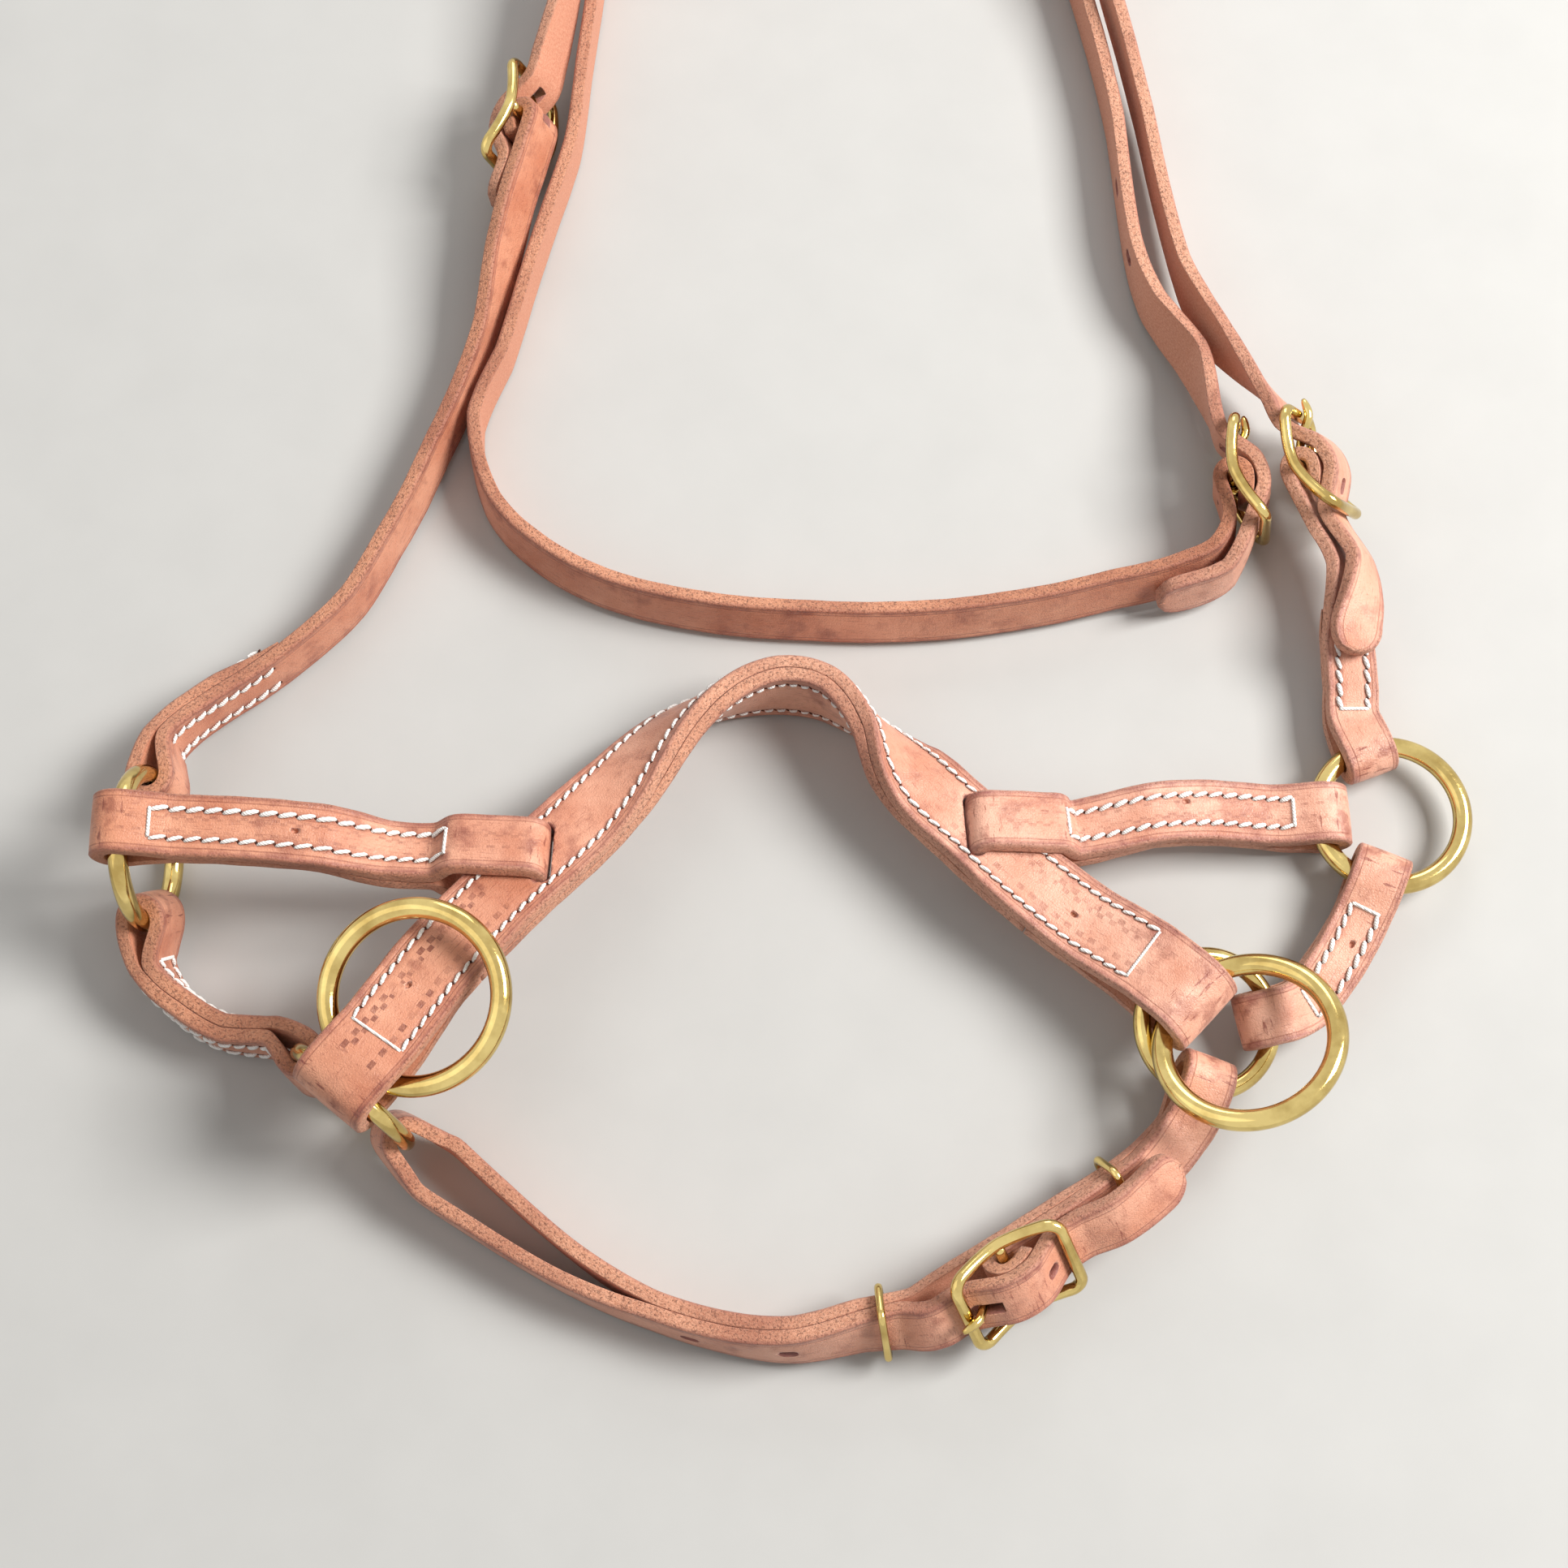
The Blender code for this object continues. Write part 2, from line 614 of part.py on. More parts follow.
line = [hold, hold + 12 * spoke, vec(130, -4.2, 12.0), vec(110, -6.0, 15.0),
        slot_r - 32 * into_r, slot_r - 14 * into_r, slot_r]
sides = [along] * 4 + [across_r] * 3
sides = [w if np.dot(w, sides[0]) > 0 else -w for w in sides]
conn_r = Route(controls_from(line, sides, 0))
first = ring_eye(conn_r, False, cheek_ring_r, spoke, CONNECT_W, 16, -HALF_PITCH, HALF_PITCH)
second = slot_eye(conn_r.length, 1, PITCH, 25.0, 40.0)
connector_r = loop_strap("right_connector", conn_r, first, second, CONNECT_W)

# Diagonals: from the cheek rings to the chin rings
dip = math.radians(20)
spoke_a = -math.cos(dip) * vec(0, 1, 0) - math.sin(dip) * cheek_top
level = np.cross(Z, OUT_L)
dip = math.radians(18)
spoke_b = unit(-math.cos(dip) * level * np.sign(level[0]) - math.sin(dip) * Z)
hold_a, along_a = cheek_ring_l.hold(spoke_a, DIAG_W)
hold_b, along_b = chin_ring_l.hold(spoke_b, DIAG_W)
line = [hold_a, hold_a + 14 * spoke_a, vec(-177, -64, 10.2), vec(-164, -71.5, 9.4),
        hold_b + 13 * spoke_b, hold_b]
up_a = along_a * np.sign(along_a[2])
up_b = along_b * np.sign(along_b[2])
diag_l = Route(controls_from(line, [up_a, up_a, Z, Z, up_b, up_b], 90))
first = ring_eye(diag_l, False, cheek_ring_l, spoke_a, DIAG_W, 14, -HALF_PITCH, HALF_PITCH)
second = ring_eye(diag_l, True, chin_ring_l, spoke_b, DIAG_W, 14, -HALF_PITCH, HALF_PITCH)
diagonal_l = loop_strap("left_diagonal", diag_l, first, second, DIAG_W)
spoke_a = unit(vec(-0.27, -0.963, 0))
spoke_b = chin_ring_r.spoke(vec(0.993, 0.12, 0))
hold_a, along_a = cheek_ring_r.hold(spoke_a, DIAG_W)
hold_b, along_b = chin_ring_r.hold(spoke_b, DIAG_W)
straight = unit(hold_b - hold_a)
leave_a = unit(spoke_a + 0.55 * straight)
leave_b = unit(spoke_b - 0.45 * straight)
slack_a = DIAG_W / 2 * float(np.linalg.norm(np.cross(leave_a, spoke_a)))
slack_b = DIAG_W / 2 * float(np.linalg.norm(np.cross(leave_b, spoke_b)))
line = [hold_a, hold_a + 12 * leave_a, hold_b + 12 * leave_b, hold_b]
flat_b = np.cross(chin_ring_r.axis, leave_b)
flat_b = flat_b if np.dot(along_a, flat_b) > 0 else -flat_b
flat_a = np.cross(Z, leave_a)
flat_a = flat_a if np.dot(along_a, flat_a) > 0 else -flat_a
diag_r = Route(controls_from(line, [flat_a, flat_a, flat_b, flat_b], 0))
first = ring_eye(diag_r, False, cheek_ring_r, spoke_a, DIAG_W, 14, -HALF_PITCH, HALF_PITCH, slack_a)
second = ring_eye(diag_r, True, chin_ring_r, spoke_b, DIAG_W, 14, -HALF_PITCH, HALF_PITCH, slack_b)
diagonal_r = loop_strap("right_diagonal", diag_r, first, second, DIAG_W)

# Left cheek strap, with its buckle at the top
dip = math.radians(12)
spoke = math.cos(dip) * vec(0, 1, 0) - math.sin(dip) * cheek_top
hold, along = cheek_ring_l.hold(spoke, STRAP_W)
along = along * np.sign(along[2])
lean_w = vec(-0.14, 0.10, 0.97)
lean_b = vec(-0.44, 0.11, 0.89)
spot_l = vec(-81.3, 230.0, 18.4)
heading = unit(vec(0.243, 0.97, 0))
line = [hold, hold + 14 * spoke, vec(-178.5, 27.5, 13.0), vec(-164.2, 39.6, 9.4),
        vec(-149.2, 52.5, 8.8), vec(-135.7, 67.0, 8.8), vec(-126.1, 85.5, 8.8),
        vec(-118.5, 101.5, 8.8), vec(-112.0, 118.3, 9.0), vec(-104.5, 137.0, 9.6),
        vec(-97.6, 160.0, 11.5), vec(-92.4, 184.0, 15.2), spot_l - 29 * heading,
        spot_l - 20 * heading, spot_l, spot_l + 5 * heading]
sides = [along, along] + [lean_w] * 9 + [lean_b] * 5
cheek_l = Route(controls_from(line, sides, 100))
buckle_cheek_l = Buckle("left_cheek_buckle", cheek_l, cheek_l.length - 5.0,
                        BAR_DEPTH - HALF_PITCH, -1)
fold = ring_eye(cheek_l, False, cheek_ring_l, spoke, STRAP_W, 15, -HALF_PITCH, HALF_PITCH)
grip = buckle_cheek_l.carrier()
profile = [(62.0, HALF_PITCH)] + fold[::-1] + grip
cheek_strap_l = strap("left_cheek_strap", cheek_l, profile, STRAP_W)

# Right cheek strap, the short one
spoke = unit(vec(-0.30, 0.95, 0))
hold, along = cheek_ring_r.hold(spoke, STRAP_W)
along = along * -np.sign(along[0])
lean_r = vec(-0.49, -0.20, 0.85)
heading = unit(vec(-0.38, 0.92, 0))
spot_r = vec(158.5, 104.0, 14.5)
line = [hold, hold + 11 * spoke, vec(174.2, 36.0, 10.5), vec(173.4, 52.0, 11.5),
        spot_r - 32 * heading, spot_r - 20 * heading, spot_r, spot_r + 6 * heading]
sides = [along, along, vec(-1, 0, 0.03), vec(-0.98, 0, 0.15)] + [lean_r] * 4
cheek_r = Route(controls_from(line, sides, 0))
buckle_cheek_r = Buckle("right_cheek_buckle", cheek_r, cheek_r.length - 6.0,
                        HALF_PITCH + BAR_DEPTH, -1)
fold = ring_eye(cheek_r, False, cheek_ring_r, spoke, STRAP_W, 15, -HALF_PITCH, HALF_PITCH)
grip = buckle_cheek_r.carrier()
profile = [(46.0, -HALF_PITCH)] + fold + grip
cheek_strap_r = strap("right_cheek_strap", cheek_r, profile, STRAP_W)

# Chin strap: buckle fold, right ring, inner leg, left ring, outer leg, tip
dip = math.radians(25)
spoke_a = math.cos(dip) * level - math.sin(dip) * Z
spoke_b = chin_ring_r.spoke(vec(-0.11, -0.994, 0))
hold_a, along_a = chin_ring_l.hold(spoke_a, STRAP_W)
hold_b, along_b = chin_ring_r.hold(spoke_b, STRAP_W)
along_a = along_a * np.sign(along_a[2])
leave_b = unit(spoke_b + vec(-0.42, -0.33, 0))
slack_b = STRAP_W / 2 * float(np.linalg.norm(np.cross(leave_b, spoke_b)))
flat_b = np.cross(chin_ring_r.axis, leave_b)
flat_b = flat_b * -np.sign(flat_b[0])
heading = unit(vec(0.853, 0.52, 0))
spot_c = vec(62.0, -139.5, 12.8)
line = [hold_a, hold_a + 11 * spoke_a, vec(-85, -123.5, 8.6), vec(-63, -139.0, 8.5),
        vec(-40, -151.0, 8.7), vec(-15, -158.6, 9.3), vec(4, -160.4, 10.3), vec(22, -156.6, 11.6),
        spot_c - 28 * heading, spot_c - 20 * heading, spot_c, spot_c + 20 * heading,
        spot_c + 28 * heading, vec(104.0, -113.4, 11.6),
        hold_b + 12 * leave_b, hold_b]
tilted = [vec(0, 0.1, 0.98), vec(0, 0.15, 0.97), vec(0, 0.3, 0.95), vec(-0.05, 0.45, 0.88),
          vec(-0.37, 0.6, 0.72), vec(-0.37, 0.6, 0.72), vec(-0.37, 0.6, 0.72),
          vec(-0.37, 0.6, 0.72), vec(-0.38, 0.62, 0.70), vec(-0.6, 0.6, 0.5)]
sides = [along_a, along_a, Z, Z] + tilted + [flat_b, flat_b]
chin = Route(controls_from(line, sides, -90))
buckle_chin = Buckle("chin_buckle", chin, chin.nearest(spot_c[0], spot_c[1]),
                     HALF_PITCH + BAR_DEPTH, 1)
_, tangent, face, _ = chin.frame(0.0)
off = chin_ring_l.sag(STRAP_W) / 2
spread = [(off, 0, CHIN_WIRE), (-off, 0, CHIN_WIRE), (-14.0, 0, 6.0)]
loop_l = eye(0.0, spread, 88.0, -HALF_PITCH, HALF_PITCH, -1)
loop_r = ring_eye(chin, True, chin_ring_r, spoke_b, STRAP_W, 14, -HALF_PITCH, HALF_PITCH, slack_b)
grip = buckle_chin.carrier()
free = buckle_chin.billet()
profile = grip[::-1] + loop_r[::-1] + loop_l + [(free[0][0] - 9.0, HALF_PITCH)] + free
last_s, last_n = free[-1]
profile += [(last_s + 10.0, last_n + TIP_LIFT), (last_s + 24.0, last_n + TIP_LIFT),
            (last_s + 28.0, last_n + TIP_LIFT), (last_s + 31.0, last_n + TIP_LIFT)]
chin_strap = strap("chin_strap", chin, profile, STRAP_W, tips=("end",))

# Throat buckle stands beside the right cheek strap; the throat lash carries it
spot_t = vec(136.6, 102.0, 14.8)
heading = unit(vec(-0.22, 0.97, 0))
lean_t = vec(-0.15, -0.03, 0.98)
stub = Route(controls_from([spot_t - 22 * heading, spot_t, spot_t + 6 * heading],
                           [lean_t] * 3, -90))
buckle_throat = Buckle("throat_buckle", stub, 22.0, BAR_DEPTH, -1)

# Crown: the cheek branch and the throat branch of one split strap
start = buckle_cheek_r.billet_spots(62.0)
stop = buckle_cheek_l.billet_spots(32.0)[::-1]
upper = [(vec(139.0, 154.0, 15.0), vec(0.2, 0.1, 0.95)), (vec(129.0, 180.0, 12.0), Z),
         (vec(119.5, 235.7, 11.0), Z), (vec(111.0, 275.0, 15.0), Z), (vec(97.0, 322.0, 22.0), Z)]
lower = [(vec(131.0, 149.0, 11.5), vec(0.3, 0.2, 0.92)), (vec(120.0, 168.0, 9.0), vec(0.2, 0, 0.98)),
         (vec(114.0, 190.0, 8.4), Z), (vec(110.0, 236.0, 8.3), Z), (vec(103.0, 275.0, 8.3), Z),
         (vec(91.0, 322.0, 8.3), Z)]
arch = [vec(74, 366, 0), vec(48, 401, 0), vec(10, 420, 0), vec(-26, 408, 0), (vec(-49, 372, 0))]
low_z = STRAP_W / 2 + 0.1
high_z = low_z + STRAP_W + 1.0
upper += [(p + high_z * Z, Z) for p in arch]
lower += [(p + low_z * Z, Z) for p in arch]
upper += [(vec(-63, 328, 24.0), Z), (vec(-71.5, 285, 20.5), vec(-0.2, 0, 0.95))]
spots = start + upper + stop
crown_a = Route(controls_from([p for p, _ in spots], [w for _, w in spots], -58))
body_a = [(s, 0.0) for s in (0.0, 3.0, 7.0)]
body_a += [(crown_a.length - s, 0.0) for s in (7.0, 3.0, 0.0)]
crown = strap("crown_strap", crown_a, body_a, STRAP_W, tips=("start", "end"))
beside = [(cheek_l.place(cheek_l.length - s, -n)[:2], z) for s, n, z in
          ((5, 13.0, 8.3), (30, 12.5, 8.3), (58, 11.0, 8.3), (85, 9.8, 8.3), (108, 9.2, 8.3))]
start = buckle_throat.billet_spots(26.0)
tip = [vec(116.0, 65.8, 10.5), vec(127.9, 68.9, 11.0), vec(138.4, 73.8, 12.2)]
start = [(p, vec(0, 0.2, 0.97)) for p in tip] + start[2:]
lower += [(vec(-59, 328, 8.3), Z), (vec(-64, 285, 8.3), Z), (vec(-67.0, 258, 8.3), Z)]
lower += [(vec(xy[0], xy[1], z), Z) for xy, z in beside]
sweep = [vec(-91.5, 98.0, 8.4), vec(-78.5, 83.5, 8.5), vec(-61.8, 72.7, 8.6),
         vec(-41.6, 65.6, 8.7), vec(-16.5, 61.0, 8.7), vec(8.5, 59.2, 8.7), vec(33.5, 58.7, 8.7),
         vec(58.6, 60.6, 8.7), vec(83.7, 64.8, 8.8), vec(104.0, 69.6, 9.4), vec(115.0, 71.8, 10.5),
         vec(126.0, 75.2, 11.8)]
lower += [(p, vec(0, 0.3, 0.94)) for p in sweep]
lower += [(vec(134.6, 79.8, 13.2), vec(-0.1, 0.2, 0.96))]
lower += [(spot_t - 12 * heading, lean_t), (spot_t, lean_t), (spot_t + 6 * heading, lean_t)]
spots = start + lower
crown_b = Route(controls_from([p for p, _ in spots], [w for _, w in spots], -90))
end_b = crown_b.length
_, _, face_b, _ = crown_b.frame(end_b - 6.0)
turned = float(np.sign(np.dot(face_b, buckle_throat.face)))
grip = [(end_b - 6.0 + s - buckle_throat.s, turned * n) for s, n in buckle_throat.carrier()]
body_b = [(s, 0.0) for s in (0.0, 3.0, 7.0)] + [(grip[0][0] - 14.0, 0.0)] + grip
branch = strap("throat_branch", crown_b, body_b, STRAP_W, tips=("start",))
seam_z = low_z + STRAP_W / 2 + 0.5
seam = Route([(*(p + seam_z * Z), -90) for p in arch])
core_run = [(0.0, 0.0), (seam.length, 0.0)]
core = strap("poll_core", seam, core_run, STRAP_W, thick=THICK - 0.9)
boolean(crown, core, "UNION", cutters)
boolean(crown, branch, "UNION", cutters)

# Holes in the straps, and the slot at each bar for the prong
hole_plan = [(chin_strap, chin, chin.nearest(-25.5, -157.0), HALF_PITCH),
             (chin_strap, chin, chin.nearest(1.0, -160.4), HALF_PITCH),
             (chin_strap, chin, buckle_chin.s + 30.0, buckle_chin.n + 0.4)]
for s in (150.0, 176.0):
    hole_plan.append((crown, crown_b, s, 0.0))
for k, (body, route, s, n) in enumerate(hole_plan):
    base, tangent, face, width = route.frame(s)
    cut = slot_cutter(f"hole_{k}", base + n * face, tangent, width, face, HOLE_L, HOLE_W,
                      THICK + 0.5)
    boolean(body, cut, "DIFFERENCE", cutters)
jobs = ((buckle_cheek_l, cheek_strap_l, crown), (buckle_cheek_r, cheek_strap_r, crown),
        (buckle_throat, crown, crown), (buckle_chin, chin_strap, chin_strap))
hinges = {}
nodes = {"noseband_outer": noseband, "noseband_lining": lining, "left_connector": connector_l,
         "right_connector": connector_r, "left_diagonal": diagonal_l,
         "right_diagonal": diagonal_r, "left_cheek_strap": cheek_strap_l,
         "right_cheek_strap": cheek_strap_r, "crown_strap": crown, "chin_strap": chin_strap}
for buckle, carrier_strap, free_strap in jobs:
    boolean(carrier_strap, buckle.prong_cutter(), "DIFFERENCE", cutters)
    boolean(free_strap, buckle.hole_cutter(), "DIFFERENCE", cutters)
    nodes[buckle.name + "_frame"] = boolean(buckle.frame(), buckle.bar(), "UNION", cutters)
    nodes[buckle.name + "_prong"] = buckle.prong()
    hinges[buckle.name + "_prong"] = (buckle.origin, buckle.width)

# Rings and keepers
for ring in (rein_ring_l, rein_ring_r, cheek_ring_l, cheek_ring_r, chin_ring_l, chin_ring_r):
    nodes[ring.name] = ring.build()
    hinges[ring.name] = (ring.centre, ring.axis)
hinges["left_rein_ring"] = (rein_l_wire, np.cross(Z, OUT_L))
hinges["right_rein_ring"] = (nose_r, np.cross(Z, OUT_R))
keeper_a = chin.nearest(28.0, -154.0)
keeper_b = buckle_chin.s + 40.0
for name, s, high in (("left_keeper", keeper_a, PITCH), ("right_keeper", keeper_b, PITCH)):
    nodes[name] = keeper(name, chin, s, -PITCH, high)
    hinges[name] = (chin.place(s), chin.frame(s)[1])

for name, obj in nodes.items():
    brass = any(word in name for word in ("ring", "frame", "prong", "keeper"))
    finish(obj, name, parts, BRASS if brass else LEATHER)
    if name in hinges:
        set_origin(obj, *hinges[name])

# Stand the whole on the floor, centred over the origin
bpy.context.view_layer.update()
corners = np.array([obj.matrix_world @ v.co for obj in nodes.values() for v in obj.data.vertices])
low, high = corners.min(axis=0), corners.max(axis=0)
shift = Matrix.Translation((-(low[0] + high[0]) / 2, -(low[1] + high[1]) / 2, -low[2]))
for obj in list(parts.objects) + list(cutters.objects):
    obj.matrix_world = shift @ obj.matrix_world
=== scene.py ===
"""Looks of a sidepull headstall: leather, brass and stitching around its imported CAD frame."""

import logging
import math
from collections.abc import Callable, Iterable, Sequence
from dataclasses import dataclass, field
from enum import Enum

import bmesh
import bpy
import numpy as np
from mathutils import Matrix, Vector

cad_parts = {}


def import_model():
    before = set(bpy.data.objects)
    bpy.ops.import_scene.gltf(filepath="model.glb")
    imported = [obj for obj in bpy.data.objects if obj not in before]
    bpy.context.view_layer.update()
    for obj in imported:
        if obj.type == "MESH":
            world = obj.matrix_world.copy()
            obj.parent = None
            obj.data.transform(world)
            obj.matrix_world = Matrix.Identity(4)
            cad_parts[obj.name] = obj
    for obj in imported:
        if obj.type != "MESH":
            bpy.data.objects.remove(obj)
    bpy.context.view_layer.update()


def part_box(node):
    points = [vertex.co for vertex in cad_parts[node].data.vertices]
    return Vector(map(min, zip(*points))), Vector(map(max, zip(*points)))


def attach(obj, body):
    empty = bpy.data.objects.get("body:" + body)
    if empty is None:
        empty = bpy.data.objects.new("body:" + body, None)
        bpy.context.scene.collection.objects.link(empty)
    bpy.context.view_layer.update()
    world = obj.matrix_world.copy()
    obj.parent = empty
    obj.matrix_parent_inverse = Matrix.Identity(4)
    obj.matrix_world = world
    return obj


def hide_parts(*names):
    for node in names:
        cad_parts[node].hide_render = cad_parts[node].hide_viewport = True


LOG = logging.getLogger("headstall")
MM = 0.001
UP = np.array([0.0, 0.0, 1.0])
ODD = np.array([0.31, 0.17, 0.93])
WRAP_STEPS = 20
ROOT_BODY = "headstall"
SLOT_LEATHER = "russet_leather"
SLOT_BRASS = "brass"
ASKEW_SHARE = 1.25
ASKEW_AIR = 1.1

Profile = list[tuple[float, float]]
Faces = list[tuple[int, ...]]
Tone = tuple[float, float, float]


class Zone(Enum):
    """Vertex attributes that tell a leather material where it is."""

    EDGE = "edge"
    FLESH = "flesh"
    BEND = "bend"
    STAMP = "stamp"
    LANE = "lane"
    GROOVE = "groove"
    RIM = "rim"
    LEVEL = "level"
    # Darkening along each strap: partly real tone differences between pieces, partly painted
    # shade on straps that lay in shade.
    TAN = "tan"

    def lay(self, data: bpy.types.Mesh, values: Sequence[float]) -> None:
        """Writes the zone's value at every vertex of a mesh."""
        data.attributes.new(self.value, "FLOAT", "POINT").data.foreach_set("value", values)


class Side(Enum):
    """Outer faces of a doubled strap."""

    TOP = 1
    BOTTOM = -1


@dataclass(frozen=True)
class Sizes:
    """Sizes that several pieces share, in millimetres, as in the CAD source."""

    thick: float = 4.2
    layer_gap: float = 0.4
    nose_w: float = 25.0
    connect_w: float = 19.0
    diag_w: float = 17.0
    strap_w: float = 16.0
    eye_clear: float = 0.6
    buckle_half_l: float = 17.3
    buckle_half_w: float = 12.8
    buckle_wire: float = 1.7
    pass_gap: float = 0.5
    prong_wire: float = 1.3
    hole_l: float = 7.5
    hole_w: float = 3.8
    keeper_wire: float = 1.2

    @property
    def pitch(self) -> float:
        """Distance between the middles of two stacked layers."""
        return self.thick + self.layer_gap

    @property
    def half(self) -> float:
        """Half of the layer pitch."""
        return self.pitch / 2

    @property
    def bow(self) -> float:
        """Height of a buckle's ends over its bar."""
        return self.pitch + 0.7

    @property
    def bar_depth(self) -> float:
        """Distance from a buckle's bar to the middle of the strap below it."""
        return self.thick / 2 + self.eye_clear + self.buckle_wire


SZ = Sizes()


def vec(*values: float) -> np.ndarray:
    """Makes a float vector."""
    return np.array(values, dtype=float)


def unit(v: np.ndarray) -> np.ndarray:
    """Scales a vector to length one."""
    return np.asarray(v, dtype=float) / np.linalg.norm(v)


def toward(v: np.ndarray, index: int) -> np.ndarray:
    """Turns a vector so that one of its coordinates is positive."""
    return v * np.sign(v[index])


def tilt_for(tangent: np.ndarray, width_dir: np.ndarray, near: float) -> float:
    """Finds the tilt that lays a strap's width along a direction.

    Args:
        tangent: Direction of travel.
        width_dir: Wanted direction of the width.
        near: Tilt of the neighbouring point, in degrees.

    Returns:
        The tilt in degrees, on the turn nearest to ``near``.
    """
    along = unit(tangent)
    side = unit(np.cross(UP, along))
    up = np.cross(along, side)
    flat = unit(width_dir - np.dot(width_dir, along) * along)
    face = np.cross(along, flat)
    tilt = math.degrees(math.atan2(np.dot(face, side), np.dot(face, up)))
    return min((tilt - 180, tilt, tilt + 180), key=lambda a: abs(a - near))


def controls_from(points: Sequence[np.ndarray], widths: Sequence[np.ndarray],
                  near: float) -> list[tuple[float, ...]]:
    """Joins points and width directions into route controls.

    Args:
        points: Places along the strap, in millimetres.
        widths: Direction of the strap's width at each place.
        near: First guess of the tilt, in degrees.

    Returns:
        Rows of x, y, z and tilt.
    """
    rows = []
    for i, (place, width) in enumerate(zip(points, widths)):
        ahead = points[min(i + 1, len(points) - 1)]
        behind = points[max(i - 1, 0)]
        near = tilt_for(unit(ahead - behind), width, near)
        rows.append((*place, near))
    return rows


def spline(points: np.ndarray, closed: bool, count: Callable[[float], int]) -> np.ndarray:
    """Runs a centripetal spline through points.

    Args:
        points: Rows of coordinates.
        closed: Whether the last point joins the first.
        count: Gives the number of samples for a stretch of this length.

    Returns:
        The dense rows, with the last point once.
    """
    pts = np.asarray(points, dtype=float)
    if closed:
        ext = np.vstack([pts[-1], pts, pts[0], pts[1]])
    else:
        ext = np.vstack([2 * pts[0] - pts[1], pts, 2 * pts[-1] - pts[-2]])
    dense = []
    for group in zip(ext[:-3], ext[1:-2], ext[2:-1], ext[3:]):
        knots = [0.0]
        for a, b in zip(group[:-1], group[1:]):
            knots.append(knots[-1] + math.sqrt(np.linalg.norm((b - a)[:3])) + 1e-6)
        total = count(float(np.linalg.norm((group[2] - group[1])[:3])))
        for t in knots[1] + (knots[2] - knots[1]) * np.arange(total) / total:
            row = list(group)
            for level in (1, 2, 3):
                row = [((knots[i + level] - t) * row[i] + (t - knots[i]) * row[i + 1])
                       / (knots[i + level] - knots[i]) for i in range(4 - level)]
            dense.append(row[0])
    if not closed:
        dense.append(pts[-1])
    return np.array(dense)


class Route:
    """Smooth line of a strap; a tilt of 0 lies flat and 90 stands on edge."""

    SAMPLES = 14
    REACH = 2.0

    def __init__(self, controls: Sequence[Sequence[float]]) -> None:
        """Runs the line through its controls.

        Args:
            controls: Rows of x, y, z and tilt.
        """
        self.dense = spline(np.array(controls, dtype=float), False, lambda gap: self.SAMPLES)
        steps = np.linalg.norm(np.diff(self.dense[:, :3], axis=0), axis=1)
        self.along = np.concatenate([[0.0], np.cumsum(steps)])
        self.length = float(self.along[-1])

    def sample(self, s: np.ndarray) -> np.ndarray:
        """Gives x, y, z and tilt at distances along the line."""
        return np.stack([np.interp(s, self.along, self.dense[:, k]) for k in range(4)], axis=-1)

    def frames(self, s: np.ndarray) -> tuple[np.ndarray, ...]:
        """Gives the strap's own directions.

        Args:
            s: Distances along the line; they may run past its ends.

        Returns:
            Points, tangents, faces and widths, one row each.
        """
        s = np.atleast_1d(np.asarray(s, dtype=float))
        inside = np.clip(s, 0.0, self.length)
        here = self.sample(inside)
        step = (self.sample(np.minimum(inside + self.REACH, self.length))
                - self.sample(np.maximum(inside - self.REACH, 0.0)))[:, :3]
        tangent = step / np.linalg.norm(step, axis=1, keepdims=True)
        side = np.cross(UP, tangent)
        side /= np.linalg.norm(side, axis=1, keepdims=True)
        up = np.cross(tangent, side)
        tilt = np.radians(here[:, 3])[:, None]
        face = np.cos(tilt) * up + np.sin(tilt) * side
        place = here[:, :3] + (s - inside)[:, None] * tangent
        return place, tangent, face, np.cross(face, tangent)

    def frame(self, s: float) -> tuple[np.ndarray, ...]:
        """Gives point, tangent, face and width at one distance."""
        return tuple(rows[0] for rows in self.frames(np.array([s])))

    def place(self, s: float, n: float = 0.0, w: float = 0.0) -> np.ndarray:
        """Gives the point at distance s, height n and offset w."""
        point, _, face, width = self.frame(s)
        return point + n * face + w * width

    def nearest(self, x: float, y: float) -> float:
        """Gives the distance along the line that lies nearest to a place in plan."""
        gaps = np.hypot(self.dense[:, 0] - x, self.dense[:, 1] - y)
        return float(self.along[int(np.argmin(gaps))])


def rounded(profile: Profile, closed: bool, step: float = 1.1, passes: int = 4) -> np.ndarray:
    """Lays points evenly along a section line and rounds its corners.

    Args:
        profile: Corner points of the line.
        closed: Whether the last point joins the first.
        step: Distance between the new points, in millimetres.
        passes: How often each point is drawn to its neighbours.

    Returns:
        The dense rows, with the first point again at the end of a closed line.
    """
    pts = np.array(profile + profile[:1] if closed else profile, dtype=float)
    along = np.concatenate([[0.0], np.cumsum(np.linalg.norm(np.diff(pts, axis=0), axis=1))])
    at = np.linspace(0, along[-1], max(8, int(along[-1] / step)) + 1)
    line = np.stack([np.interp(at, along, pts[:, k]) for k in (0, 1)], axis=1)
    for _ in range(passes):
        if closed:
            ring = line[:-1]
            ring = (np.roll(ring, 1, axis=0) + 2 * ring + np.roll(ring, -1, axis=0)) / 4
            line = np.vstack([ring, ring[:1]])
        else:
            line[1:-1] = (line[:-2] + 2 * line[1:-1] + line[2:]) / 4
    return line


